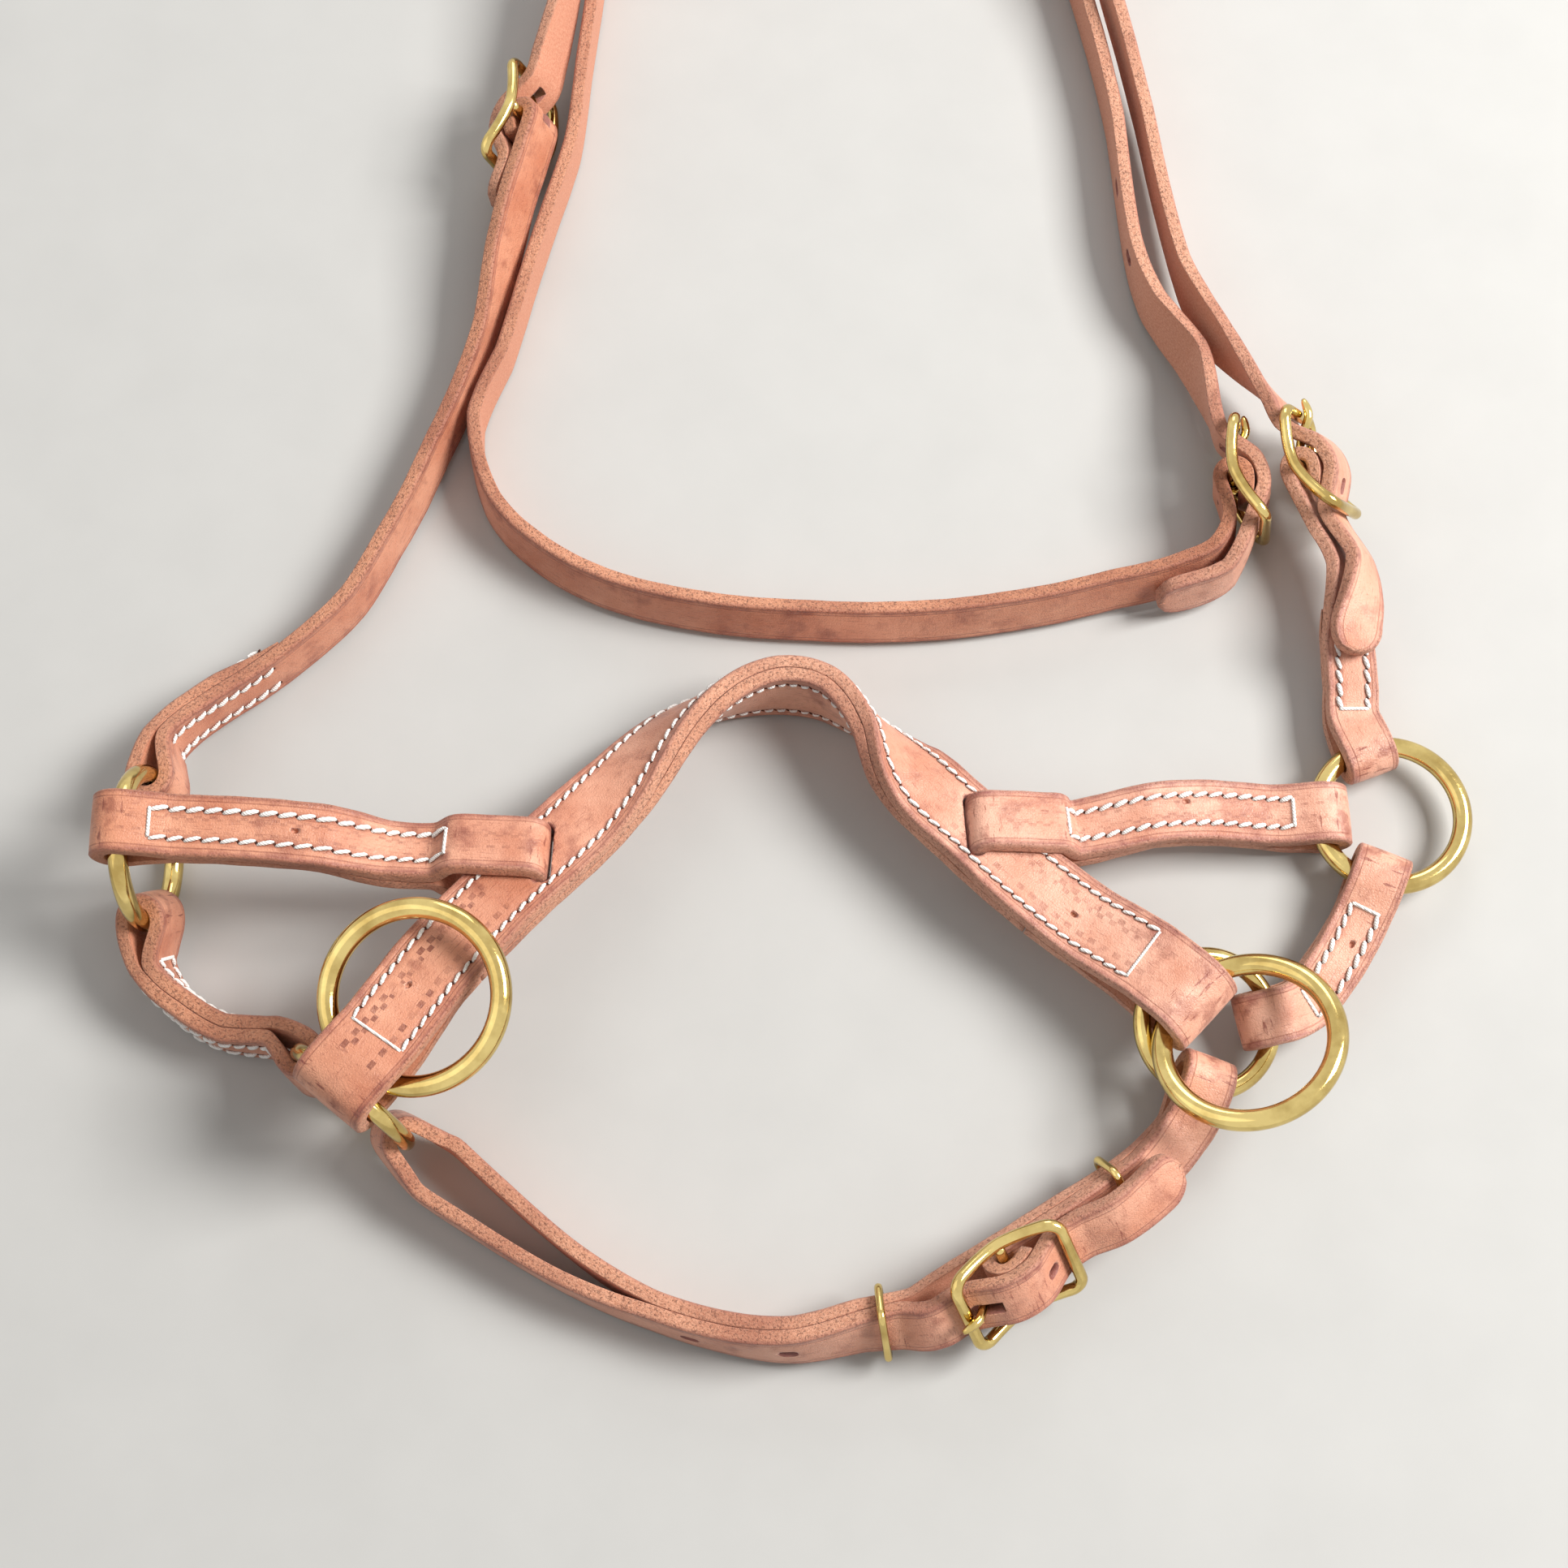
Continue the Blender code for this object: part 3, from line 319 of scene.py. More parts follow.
def hull(points: Iterable[tuple[float, float]]) -> Profile:
    """Draws the convex outline of points in a plane, counter-clockwise.

    Args:
        points: The points.

    Returns:
        Corners of the outline.
    """
    pts = sorted({(round(float(x), 4), round(float(y), 4)) for x, y in points})
    outline: Profile = []
    for seq in (pts, pts[::-1]):
        side: Profile = []
        for p in seq:
            while len(side) > 1 and ((side[-1][0] - side[-2][0]) * (p[1] - side[-2][1])
                                     - (side[-1][1] - side[-2][1]) * (p[0] - side[-2][0])) <= 0:
                side.pop()
            side.append(p)
        outline += side[:-1]
    return outline


def eye(end: float, wires: Iterable[tuple[float, float, float]], reach: float, low: float,
        high: float, sense: int = 1) -> Profile:
    """Wraps a strap round wires past the end of its route.

    Args:
        end: Distance along the route where the wires' frame starts.
        wires: Offset, height and radius of each wire.
        reach: How far back the two layers come together.
        low: Height of the lower layer there.
        high: Height of the upper layer there.
        sense: 1 at the route's end, -1 at its start.

    Returns:
        The section line from the low layer round to the high one.
    """
    cloud = [(-reach, low), (-reach, high)]
    for s, n, radius in wires:
        ring = radius + SZ.eye_clear + SZ.thick / 2
        for k in range(WRAP_STEPS):
            a = 2 * math.pi * k / WRAP_STEPS
            cloud.append((s + ring * math.cos(a), n + ring * math.sin(a)))
    outline = hull(cloud)
    first = min(range(len(outline)), key=lambda i: math.hypot(outline[i][0] + reach,
                                                              outline[i][1] - low))
    outline = outline[first:] + outline[:first]
    return [(end + sense * s, n) for s, n in outline]


def world_matrix() -> Matrix:
    """Finds the move from the CAD source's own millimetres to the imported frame.

    Returns:
        A matrix that scales to metres and shifts onto the frame's cheek ring.
    """
    low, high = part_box("left_cheek_ring")
    ring = RingSet().cheek_left
    middle = (low + high) / 2 - Vector(tuple(ring.centre * MM))
    return Matrix.Translation(middle) @ Matrix.Scale(MM, 4)


@dataclass
class Finishes:
    """The materials, made once."""

    leather: bpy.types.Material
    brass: bpy.types.Material
    thread: bpy.types.Material
    # Painted shade for the slits in the awl holes.
    dark: bpy.types.Material


def recalc(obj: bpy.types.Object) -> None:
    """Turns all faces of a closed mesh outwards.

    Args:
        obj: Its object.
    """
    mesh = bmesh.new()
    mesh.from_mesh(obj.data)
    bmesh.ops.recalc_face_normals(mesh, faces=mesh.faces)
    mesh.to_mesh(obj.data)
    mesh.free()


class Workshop:
    def __init__(self, finishes: Finishes) -> None:
        """Keeps the move into the frame and the count of pieces.

        Args:
            finishes: The materials.
        """
        self.finishes = finishes
        self.matrix = world_matrix()
        self.count = 0

    def object(self, name: str, verts: np.ndarray, faces: Faces) -> bpy.types.Object:
        """Makes a smooth mesh object.

        Args:
            name: Name of the piece.
            verts: Rows of x, y, z in the CAD source's millimetres.
            faces: Corner numbers of each face.

        Returns:
            The new object, with its place in its vertices.
        """
        data = bpy.data.meshes.new(name)
        data.from_pydata([tuple(v) for v in verts], [], faces)
        data.transform(self.matrix)
        data.update()
        data.shade_smooth()
        obj = bpy.data.objects.new(name, data)
        bpy.context.scene.collection.objects.link(obj)
        recalc(obj)
        return obj

    def hand_over(self, obj: bpy.types.Object, body: str, slot: str | None,
                  nodes: Sequence[str] = ()) -> None:
        """Lets a piece ride on a body and stand for CAD nodes.

        Args:
            obj: The finished piece.
            body: Body that it moves with.
            slot: Record slot of its finish, or None for thread; not used.
            nodes: CAD nodes that it stands for.
        """
        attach(obj, body)
        if nodes:
            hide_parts(*nodes)
        self.count += 1
        LOG.info("%s: %d faces on %s", obj.name, len(obj.data.polygons), body)

    def brass(self, node: str, verts: np.ndarray, faces: Faces, body: str) -> None:
        """Makes a brass piece and hands it over.

        Args:
            node: CAD node that it stands for.
            verts: Rows of x, y, z in the CAD source's millimetres.
            faces: Corner numbers of each face.
            body: Body that it moves with.
        """
        obj = self.object(node + "_brass", verts, faces)
        obj.data.materials.append(self.finishes.brass)
        self.hand_over(obj, body, SLOT_BRASS, [node])


def skin(rows: int, cols: int, closed: bool) -> Faces:
    """Joins rows of points into a surface.

    Args:
        rows: Number of rows.
        cols: Points in a row, which runs round the bar.
        closed: Whether the last row joins the first; otherwise both ends are capped.

    Returns:
        Corner numbers of each face.
    """
    faces: Faces = []
    for i in range(rows if closed else rows - 1):
        j = (i + 1) % rows
        for k in range(cols):
            m = (k + 1) % cols
            faces.append((i * cols + k, i * cols + m, j * cols + m, j * cols + k))
    if not closed:
        faces += [tuple(range(cols))[::-1], tuple((rows - 1) * cols + k for k in range(cols))]
    return faces


def tube(points: np.ndarray, radii: Sequence[float], closed: bool, sides: int,
         squash: float = 1.0, across: np.ndarray | None = None) -> tuple[np.ndarray, Faces]:
    """Makes a round bar along a line.

    Args:
        points: Rows of x, y, z.
        radii: Radius at each point.
        closed: Whether the line closes on itself.
        sides: Points round the bar.
        squash: Height of the section as a share of its width.
        across: Direction of the section's width at the first point, if it matters.

    Returns:
        Vertices and faces.
    """
    pts = np.asarray(points, dtype=float)
    if closed:
        tangents = np.roll(pts, -1, axis=0) - np.roll(pts, 1, axis=0)
    else:
        tangents = np.gradient(pts, axis=0)
    tangents /= np.linalg.norm(tangents, axis=1, keepdims=True)
    start = np.cross(tangents[0], ODD) if across is None else across
    verts = []
    for place, tangent, radius in zip(pts, tangents, radii):
        start = unit(start - np.dot(start, tangent) * tangent)
        other = np.cross(tangent, start)
        for a in 2 * math.pi * np.arange(sides) / sides:
            verts.append(place + radius * (math.cos(a) * start + squash * math.sin(a) * other))
    return np.array(verts), skin(len(pts), sides, closed)


def cornered(half_a: float, half_b: float, corner: float, step: int,
             sides: Sequence[float] = (), ends: Sequence[float] = ()) -> Profile:
    """Draws a rectangle with rounded corners.

    Args:
        half_a: Half of its length.
        half_b: Half of its width.
        corner: Radius of its corners.
        step: Degrees from point to point round a corner.
        sides: Places of more points along its long sides.
        ends: Places of more points along its ends.

    Returns:
        Points of the closed line.
    """
    points: Profile = []
    for qa, qb, start in ((1, 1, 0), (-1, 1, 90), (-1, -1, 180), (1, -1, 270)):
        for a in range(start, start + 91, step):
            t = math.radians(a)
            points.append((qa * (half_a - corner) + corner * math.cos(t),
                           qb * (half_b - corner) + corner * math.sin(t)))
        if qa * qb > 0:
            points += [(qa * u, qb * half_b) for u in sides]
        else:
            points += [(qa * half_a, qb * v) for v in ends]
    return points


@dataclass(frozen=True)
class Ring:
    """Brass wire ring, in the CAD source's millimetres."""

    name: str
    centre: np.ndarray
    axis: np.ndarray
    radius: float
    wire: float

    def spoke(self, direction: np.ndarray) -> np.ndarray:
        """Gives the direction within the ring's plane that is nearest to this one."""
        return unit(direction - np.dot(direction, self.axis) * self.axis)

    def sag(self, width: float) -> float:
        """Gives the depth of the wire's arc over a strap of this width."""
        return self.radius - math.sqrt(self.radius ** 2 - (width / 2) ** 2)

    def hold(self, spoke: np.ndarray, width: float) -> tuple[np.ndarray, np.ndarray]:
        """Gives the middle of the arc inside a strap's fold, and the wire's direction."""
        middle = self.centre + (self.radius - self.sag(width) / 2) * spoke
        return middle, np.cross(self.axis, spoke)


@dataclass
class RingSet:
    """The six rings and the two ends of the noseband."""

    rein_r: float = 25.25
    rein_wire: float = 3.25
    cheek_r: float = 22.0
    cheek_wire: float = 3.0
    chin_r: float = 20.0
    chin_wire: float = 2.75
    lean_deg: float = 8.5
    rein_tilt_left: float = 12.3
    rein_tilt_right: float = 24.0
    chin_drop_right: float = 14.0
    rest: float = 1.3
    seat: float = 0.3
    gap_left: float = 0.6
    gap_right: float = 1.2
    floor_air: float = 0.05
    slimming: float = 0.965
    rows: int = 120
    sides: int = 24

    def __post_init__(self) -> None:
        """Works out where the rings stand."""
        self.out_left = unit(vec(-0.62, -0.78, 0))
        self.out_right = unit(vec(0.74, -0.673, 0))
        half = SZ.nose_w / 2
        self.chin_sag = self.chin_r - math.sqrt(self.chin_r ** 2 - half ** 2)
        self.rein_sag = self.rein_r - math.sqrt(self.rein_r ** 2 - half ** 2)
        self.pitch_left = self.chin_wire + self.rein_wire + self.gap_left
        self.pitch_right = self.pitch_left + self.chin_sag - self.rein_sag + self.gap_right
        mid = vec(-124.0, -93.2, self.chin_r + self.chin_wire + self.floor_air)
        self.nose_left = mid + (self.chin_r - self.chin_sag / 2) * UP
        self.nose_right = vec(116.6, -62.4, 18.0)
        self.chin_left = Ring("left_chin_ring", mid, self.out_left, self.chin_r, self.chin_wire)
        wire = self.nose_left - self.pitch_left * self.out_left - (self.rest + self.seat) * UP
        self.rein_left = self._hung("left_rein_ring", wire, -self.out_left, self.rein_tilt_left,
                                    self.rein_r, self.rein_wire)
        wire = self.nose_right - self.pitch_right * self.out_right
        self.chin_right = self._hung("right_chin_ring", wire, self.out_right,
                                     -self.chin_drop_right, self.chin_r, self.chin_wire)
        self.rein_right = self._hung("right_rein_ring", self.nose_right, self.out_right,
                                     self.rein_tilt_right, self.rein_r, self.rein_wire)
        lean = math.radians(self.lean_deg)
        self.cheek_top = vec(-math.sin(lean), 0, math.cos(lean))
        self.cheek_left = Ring("left_cheek_ring",
                               vec(-188.5, -19.1, self.cheek_r * math.cos(lean)
                                   + self.cheek_wire + self.floor_air),
                               vec(math.cos(lean), 0, math.sin(lean)), self.cheek_r,
                               self.cheek_wire)
        self.cheek_right = Ring("right_cheek_ring", vec(183.7, -4.0, 9.0), UP, self.cheek_r,
                                self.cheek_wire)

    @staticmethod
    def _hung(name: str, wire: np.ndarray, out: np.ndarray, tilt: float, radius: float,
              thick: float) -> Ring:
        """Places a ring by the point of its wire in a fold.

        Args:
            name: Name of the ring.
            wire: Point of the wire in the fold.
            out: Level direction away from it.
            tilt: Rise of the ring over that direction, in degrees.
            radius: Radius at the middle of the wire.
            thick: Radius of the wire.

        Returns:
            The ring.
        """
        rise = math.radians(tilt)
        direction = math.cos(rise) * out + math.sin(rise) * UP
        axis = unit(np.cross(direction, np.cross(UP, out)))
        return Ring(name, wire + radius * direction, axis, radius, thick)

    def build(self, shop: Workshop) -> None:
        """Makes the six rings.

        Args:
            shop: Where the pieces are made.
        """
        turns = 2 * math.pi * np.arange(self.rows)[:, None] / self.rows
        for ring in (self.rein_left, self.rein_right, self.cheek_left, self.cheek_right,
                     self.chin_left, self.chin_right):
            side = unit(np.cross(ring.axis, ODD))
            other = np.cross(ring.axis, side)
            points = ring.centre + ring.radius * (np.cos(turns) * side + np.sin(turns) * other)
            radii = [ring.wire * self.slimming] * self.rows
            shop.brass(ring.name, *tube(points, radii, True, self.sides, across=ring.axis),
                       ring.name)


@dataclass
class StitchRow:
    """One row of saddle stitches on an outer face of a doubled strap."""

    start: float
    end: float
    w: float
    side: Side = Side.TOP
    pitch: float = 5.0
    bar_start: bool = False
    bar_end: bool = False


@dataclass
class Band:
    """A strap made fine: a section line along a route, swept with rounded edges."""

    name: str
    route: Route
    profile: Profile
    width: float
    closed: bool = False
    outer: int = 1
    tips: tuple[str, ...] = ()
    tip_length: float = 9.0
    thick: float = SZ.thick
    rows: list[StitchRow] = field(default_factory=list)
    stamps: list[tuple[float, float, float]] = field(default_factory=list)
    awls: list[tuple[float, float]] = field(default_factory=list)
    lane: float = 5.2
    skived: tuple[str, ...] = ()
    skive_length: float = 22.0
    groove_depth: float = 0.30
    press: float = 0.16
    grain_round: float = 1.15
    flesh_round: float = 0.35
    face_step: float = 0.85
    tip_share: float = 0.28
    skive_share: float = 0.12
    swell: float = 0.18
    sink: float = 0.16
    groove_half: float = 1.5
    sways: tuple[tuple[float, float, float], ...] = ((0.16, 0.19, 0.0), (0.10, 0.53, 2.1))
    awl: tuple[float, float, float, int] = (2.2, 1.7, 2.6, 12)
    station_gap: float = 2.4
    station_twist: float = 7.0
    station_turn: float = 9.0
    bend_gain: float = 6.0
    phase: float = 0.0
    # Darkness of the leather at the route's start and end: partly real tone, partly painted
    # shade.
    tan: tuple[float, float] = (0.4, 0.4)

    def __post_init__(self) -> None:
        """Works out the stations along the section line."""
        dense = rounded(self.profile, self.closed)
        place, _, face, _ = self.route.frames(dense[:, 0])
        line = place + dense[:, 1:2] * face
        steps = np.diff(line, axis=0)
        lengths = np.linalg.norm(steps, axis=1) + 1e-9
        heads = steps / lengths[:, None]
        turn = np.degrees(np.arccos(np.clip((heads[1:] * heads[:-1]).sum(1), -1, 1)))
        twist = np.degrees(np.arccos(np.clip((face[1:] * face[:-1]).sum(1), -1, 1)))
        cost = lengths / self.station_gap + twist / self.station_twist
        cost[1:] += turn / self.station_turn
        total = np.concatenate([[0.0], np.cumsum(cost)])
        count = max(8, int(math.ceil(total[-1])))
        at = np.linspace(0, total[-1], count + 1)
        if self.closed:
            at = at[:-1]
        travelled = np.concatenate([[0.0], np.cumsum(lengths)])
        self.line = np.stack([np.interp(at, total, dense[:, k]) for k in (0, 1)], axis=1)
        self.travel = np.interp(at, total, travelled)
        around = np.roll(self.line, -1, axis=0) - np.roll(self.line, 1, axis=0)
        if not self.closed:
            around = np.gradient(self.line, axis=0)
        around /= np.linalg.norm(around, axis=1, keepdims=True) + 1e-12
        self.normal = self.outer * np.stack([-around[:, 1], around[:, 0]], axis=1)
        bend = np.linalg.norm(np.roll(around, -1, axis=0) - around, axis=1)
        gaps = np.linalg.norm(np.roll(self.line, -1, axis=0) - self.line, axis=1) + 1e-6
        self.bend = np.clip(self.bend_gain * bend / gaps, 0, 1)
        if not self.closed:
            self.bend[-1] = 0.0

    def _section(self) -> np.ndarray:
        """Lays out one cross-section; its flesh side reaches to the next layer's.

        Returns:
            Rows of height, offset as a share of the half width, edge value, flesh value and
            inset of the offset in millimetres.
        """
        half = self.thick / 2
        under = half + self.press
        grain, flesh = self.grain_round, self.flesh_round
        side = []
        for a in (22, 45, 68):
            t = math.radians(a)
            side.append((half - grain * (1 - math.cos(t)), 0.35 + 0.3 * a / 68, 0.0,
                         grain * (1 - math.sin(t))))
        side += [(h, 1.0, 0.0, 0.0) for h in np.linspace(half - grain, flesh - under, 4)]
        for a in (30, 60):
            t = math.radians(a)
            side.append((flesh * (1 - math.sin(t)) - under, 0.8, 0.3, flesh * (1 - math.cos(t))))
        face = np.linspace(-1, 1, max(11, int(self.width / self.face_step)))
        rows = [(half, x, 0.0, 0.0, grain) for x in face]
        rows += [(h, 1.0, edge, suede, inset) for h, edge, suede, inset in side]
        rows += [(-under, x, 0.0, 1.0, flesh) for x in np.linspace(1, -1, 7)]
        rows += [(h, -1.0, edge, suede, inset) for h, edge, suede, inset in side[::-1]]
        return np.array(rows)

    def _ends(self, ends: tuple[str, ...], length: float) -> list[np.ndarray]:
        """Measures how far each station is from the ends.

        Args:
            ends: The ends that are meant.
            length: Distance that counts as 1.

        Returns:
            For each of these ends, shares from 0 to 1 with a row per station.
        """
        gone = {"start": self.travel, "end": self.travel[-1] - self.travel}
        return [np.clip(gone[end] / length, 0, 1)[:, None] for end in gone if end in ends]

    def _groove(self, w: np.ndarray) -> np.ndarray:
        """Finds how much of a stitch row's groove each place has.

        Args:
            w: Offsets, one row per station.

        Returns:
            Shares from 0 to 1, of the same shape.
        """
        share = np.zeros_like(w)
        for row in self.rows:
            low, high = sorted((row.start, row.end))
            inside = (self.line[:, 0] > low) & (self.line[:, 0] < high)
            inside &= self.line[:, 1] * row.side.value > 0
            share += np.clip(1 - ((w - row.w) / self.groove_half) ** 2, 0, 1) * inside[:, None]
        return np.clip(share, 0, 1)

    def build(self, shop: Workshop) -> bpy.types.Object:
        """Makes the strap's mesh with its zones.

        Args:
            shop: Where the piece is made.

        Returns:
            The strap, not yet handed over.
        """
        height, offset, edge, suede, inset = self._section().T
        halves = np.full((len(self.line), 1), self.width / 2)
        for share in self._ends(self.tips, self.tip_length):
            halves *= self.tip_share + (1 - self.tip_share) * np.sqrt(1 - (1 - share) ** 2)
        thin = np.ones_like(halves)
        for share in self._ends(self.skived, self.skive_length):
            thin *= self.skive_share + (1 - self.skive_share) * share
        w = offset * np.maximum(halves - inset, 0.4)
        sway = sum(size * np.sin(self.travel * rate + lag + self.phase)
                   for size, rate, lag in self.sways)
        w += 0.5 * sway[:, None] - 0.12 * np.sign(w)
        rows, cols = w.shape
        top = height > self.thick / 2 - 0.01
        crown = self.swell * (1 - (w / np.maximum(halves, 1)) ** 2) - self.sink
        groove = self._groove(w) * top
        lift = height + np.where(top, crown, 0.0) - self.groove_depth * groove
        lift = lift * thin - (1 - thin) * self.thick / 2
        s = self.line[:, :1] + lift * self.normal[:, :1]
        n = self.line[:, 1:] + lift * self.normal[:, 1:]
        place, _, face, width = self.route.frames(s.ravel())
        verts = place + n.ravel()[:, None] * face + w.ravel()[:, None] * width
        obj = shop.object(self.name + "_leather", verts, skin(rows, cols, self.closed))
        stamp = np.zeros(w.shape)
        for low, high, strength in self.stamps:
            inside = (self.line[:, 0] > low) & (self.line[:, 0] < high) & (self.line[:, 1] > 0)
            stamp += strength * inside[:, None] * top
        end_mark = np.zeros((rows, 1))
        if not self.closed:
            end_mark[[0, -1]] = 0.8
        # Painted shade and real tone, blended from the route's start to its end.
        tan = np.interp(self.line[:, :1], (0, self.route.length), self.tan)
        values = {Zone.EDGE: np.maximum(edge, end_mark), Zone.FLESH: suede,
                  Zone.BEND: self.bend[:, None], Zone.STAMP: stamp, Zone.LANE: w / self.lane,
                  Zone.GROOVE: groove, Zone.RIM: np.where(top, halves - np.abs(w), 0.0),
                  Zone.LEVEL: height, Zone.TAN: tan}
        for zone, value in values.items():
            value = np.broadcast_to(value, w.shape).astype(np.float32)
            zone.lay(obj.data, value.ravel())
        flat = np.stack([self.travel[:, None] + 0 * w, w], axis=-1).reshape(-1, 2)
        corners = np.zeros(len(obj.data.loops), dtype=np.int32)
        obj.data.loops.foreach_get("vertex_index", corners)
        uv = obj.data.uv_layers.new(name="strap")
        uv.data.foreach_set("uv", (flat[corners] * 0.01).astype(np.float32).ravel())
        obj.data.materials.append(shop.finishes.leather)
        return obj

    def prick(self, shop: Workshop, obj: bpy.types.Object) -> None:
        """Cuts the stray awl holes into the upper grain face.

        Args:
            shop: Where the pieces are made.
            obj: The strap's mesh.
        """
        for s, w in self.awls:
            spot, normal = self.surface(s, w, Side.TOP, 0.0)
            _, tangent, _, width = self.route.frame(s)
            Cutter(spot, tangent, width, normal, *self.awl).cut(shop, obj)

    def surface(self, s: float, w: float, side: Side, lift: float) -> tuple[np.ndarray, ...]:
        """Finds a place on the grain face.

        Args:
            s: Distance along the route.
            w: Offset across the strap.
            side: Outer face that is meant.
            lift: Height over the face.

        Returns:
            The point, and the outward direction there.
        """
        picked = np.where(self.line[:, 1] * side.value > 0)[0]
        order = picked[np.argsort(self.line[picked, 0])]
        keys = self.line[order, 0]
        n = float(np.interp(s, keys, self.line[order, 1]))
        ms = float(np.interp(s, keys, self.normal[order, 0]))
        mn = float(np.interp(s, keys, self.normal[order, 1]))
        level = self.thick / 2 + lift
        place, tangent, face, width = self.route.frame(s + level * ms)
        point = place + (n + level * mn) * face + w * width
        return point, unit(ms * tangent + mn * face)


@dataclass
class Stitching:
    """White saddle stitches of one strap, each a short thick thread between awl holes."""

    radius: float = 0.70
    length_share: float = 0.90
    slant: float = 0.62
    rise: float = 0.46
    hole: float = 0.55
    plies: int = 3
    ply_depth: float = 0.13
    turns_per_mm: float = 0.275
    bar_share: float = 0.80
    bar_lift: float = 0.22
    wobble: float = 0.10
    hole_sink: float = 0.36
    verts: list[np.ndarray] = field(default_factory=list)
    faces: Faces = field(default_factory=list)
    marks: list[int] = field(default_factory=list)

    def build(self, shop: Workshop, band: Band) -> None:
        """Makes the stitches of a strap, and dark slits of painted shade at its awl holes.

        Args:
            shop: Where the pieces are made.
            band: The strap, with its rows.
        """
        for row in band.rows:
            count = max(1, int(round(abs(row.end - row.start) / row.pitch)))
            pitch = (row.end - row.start) / count
            for k in range(count):
                middle = row.start + (k + 0.5) * pitch
                self._stitch(band, row, middle, pitch)
                self._hole(band, row, middle + pitch / 2)
            for edge, wanted in ((row.start, row.bar_start), (row.end, row.bar_end)):
                if wanted and row.w > 0:
                    self._bar(band, row, edge)
        if not self.verts:
            return
        obj = shop.object(band.name + "_stitching", np.array(self.verts), self.faces)
        obj.data.materials.append(shop.finishes.thread)
        obj.data.materials.append(shop.finishes.dark)
        obj.data.polygons.foreach_set("material_index", self.marks)
        shop.hand_over(obj, ROOT_BODY, None)

    def _add(self, band: Band, row: StitchRow, path: Iterable[tuple[float, float, float]],
             radii: Sequence[float], dark: bool = False) -> None:
        """Adds one short bar; a thread's surface is wound like plied yarn.

        Args:
            band: The strap.
            row: Row that the bar belongs to.
            path: Distance, offset and lift of its points.
            radii: Radius at each point.
            dark: Whether it is a slit of painted shade inside a hole.
        """
        spots = [band.surface(s, w, row.side, lift) for s, w, lift in path]
        points = np.array([point for point, _ in spots])
        chord = points[-1] - points[0]
        squash, sides = (0.45, 6) if dark else (0.82, 12)
        more, quads = tube(points, radii, False, sides, squash, np.cross(chord, spots[-1][1]))
        if not dark:
            turns = self.turns_per_mm * np.linalg.norm(chord) / (len(points) - 1)
            for at in range(len(more)):
                i, k = divmod(at, sides)
                turn = self.plies * 2 * math.pi * (k / sides - turns * i)
                swell = 1.0 + self.ply_depth * (math.cos(turn) - 0.4)
                more[at] = points[i] + swell * (more[at] - points[i])
        base = len(self.verts)
        self.verts.extend(more)
        self.faces.extend(tuple(base + i for i in quad) for quad in quads)
        self.marks.extend([int(dark)] * len(quads))

    def _stitch(self, band: Band, row: StitchRow, middle: float, pitch: float) -> None:
        """Adds one slanted stitch that dives in at both ends.

        Args:
            band: The strap.
            row: Its row.
            middle: Distance of the stitch's middle.
            pitch: Length of the stitch with its gap.
        """
        share = np.array([-1.0, -0.92, -0.76, -0.55, -0.3, 0.0, 0.3, 0.55, 0.76, 0.92, 1.0])
        reach = abs(pitch) * self.length_share / 2
        path = [(middle + t * reach, row.w + self.slant * t * row.side.value,
                 -0.26 + self.rise * (1 - t ** 4) - 0.9 * max(0.0, abs(t) - 0.8))
                for t in share]
        wobble = 1.0 + self.wobble * math.sin(middle * 7.3 + row.w)
        self._add(band, row, path,
                  self.radius * wobble * (0.5 + 0.55 * (1 - np.abs(share) ** 3)))

    def _hole(self, band: Band, row: StitchRow, spot: float) -> None:
        """Adds a dark slit of painted shade where an awl hole is.

        Args:
            band: The strap.
            row: Its row.
            spot: Distance of the hole.
        """
        path = [(spot + 0.5 * t, row.w - 0.75 * t * row.side.value, -self.hole_sink)
                for t in (-1.0, -0.4, 0.4, 1.0)]
        # Painted shade: a dark slit sunk just under the surface stands for the hole's inside.
        self._add(band, row, path, [self.hole * r for r in (0.35, 0.95, 0.95, 0.35)], True)

    def _bar(self, band: Band, row: StitchRow, s: float) -> None:
        """Adds the long stitch across the strap that joins two rows.

        Args:
            band: The strap.
            row: One of the rows.
            s: Distance of the stitch.
        """
        path = [(s, row.w * t, self.bar_lift - 2.7 * max(0.0, abs(t) - 0.86))
                for t in np.linspace(-1, 1, 25)]
        self._add(band, row, path, [self.radius * self.bar_share] * len(path))


def paired_rows(start: float, end: float, w: float, pitch: float = 5.0,
                bars: bool = True) -> list[StitchRow]:
    """Lays two rows on both outer faces of a doubled strap.

    Args:
        start: Where the rows start along the route.
        end: Where they end.
        w: Offset of each row from the middle.
        pitch: Length of one stitch with its gap.
        bars: Whether a stitch across joins the rows at both ends.

    Returns:
        Four rows.
    """
    return [StitchRow(start, end, sign * w, side, pitch, bars, bars)
            for side in (Side.TOP, Side.BOTTOM) for sign in (1, -1)]


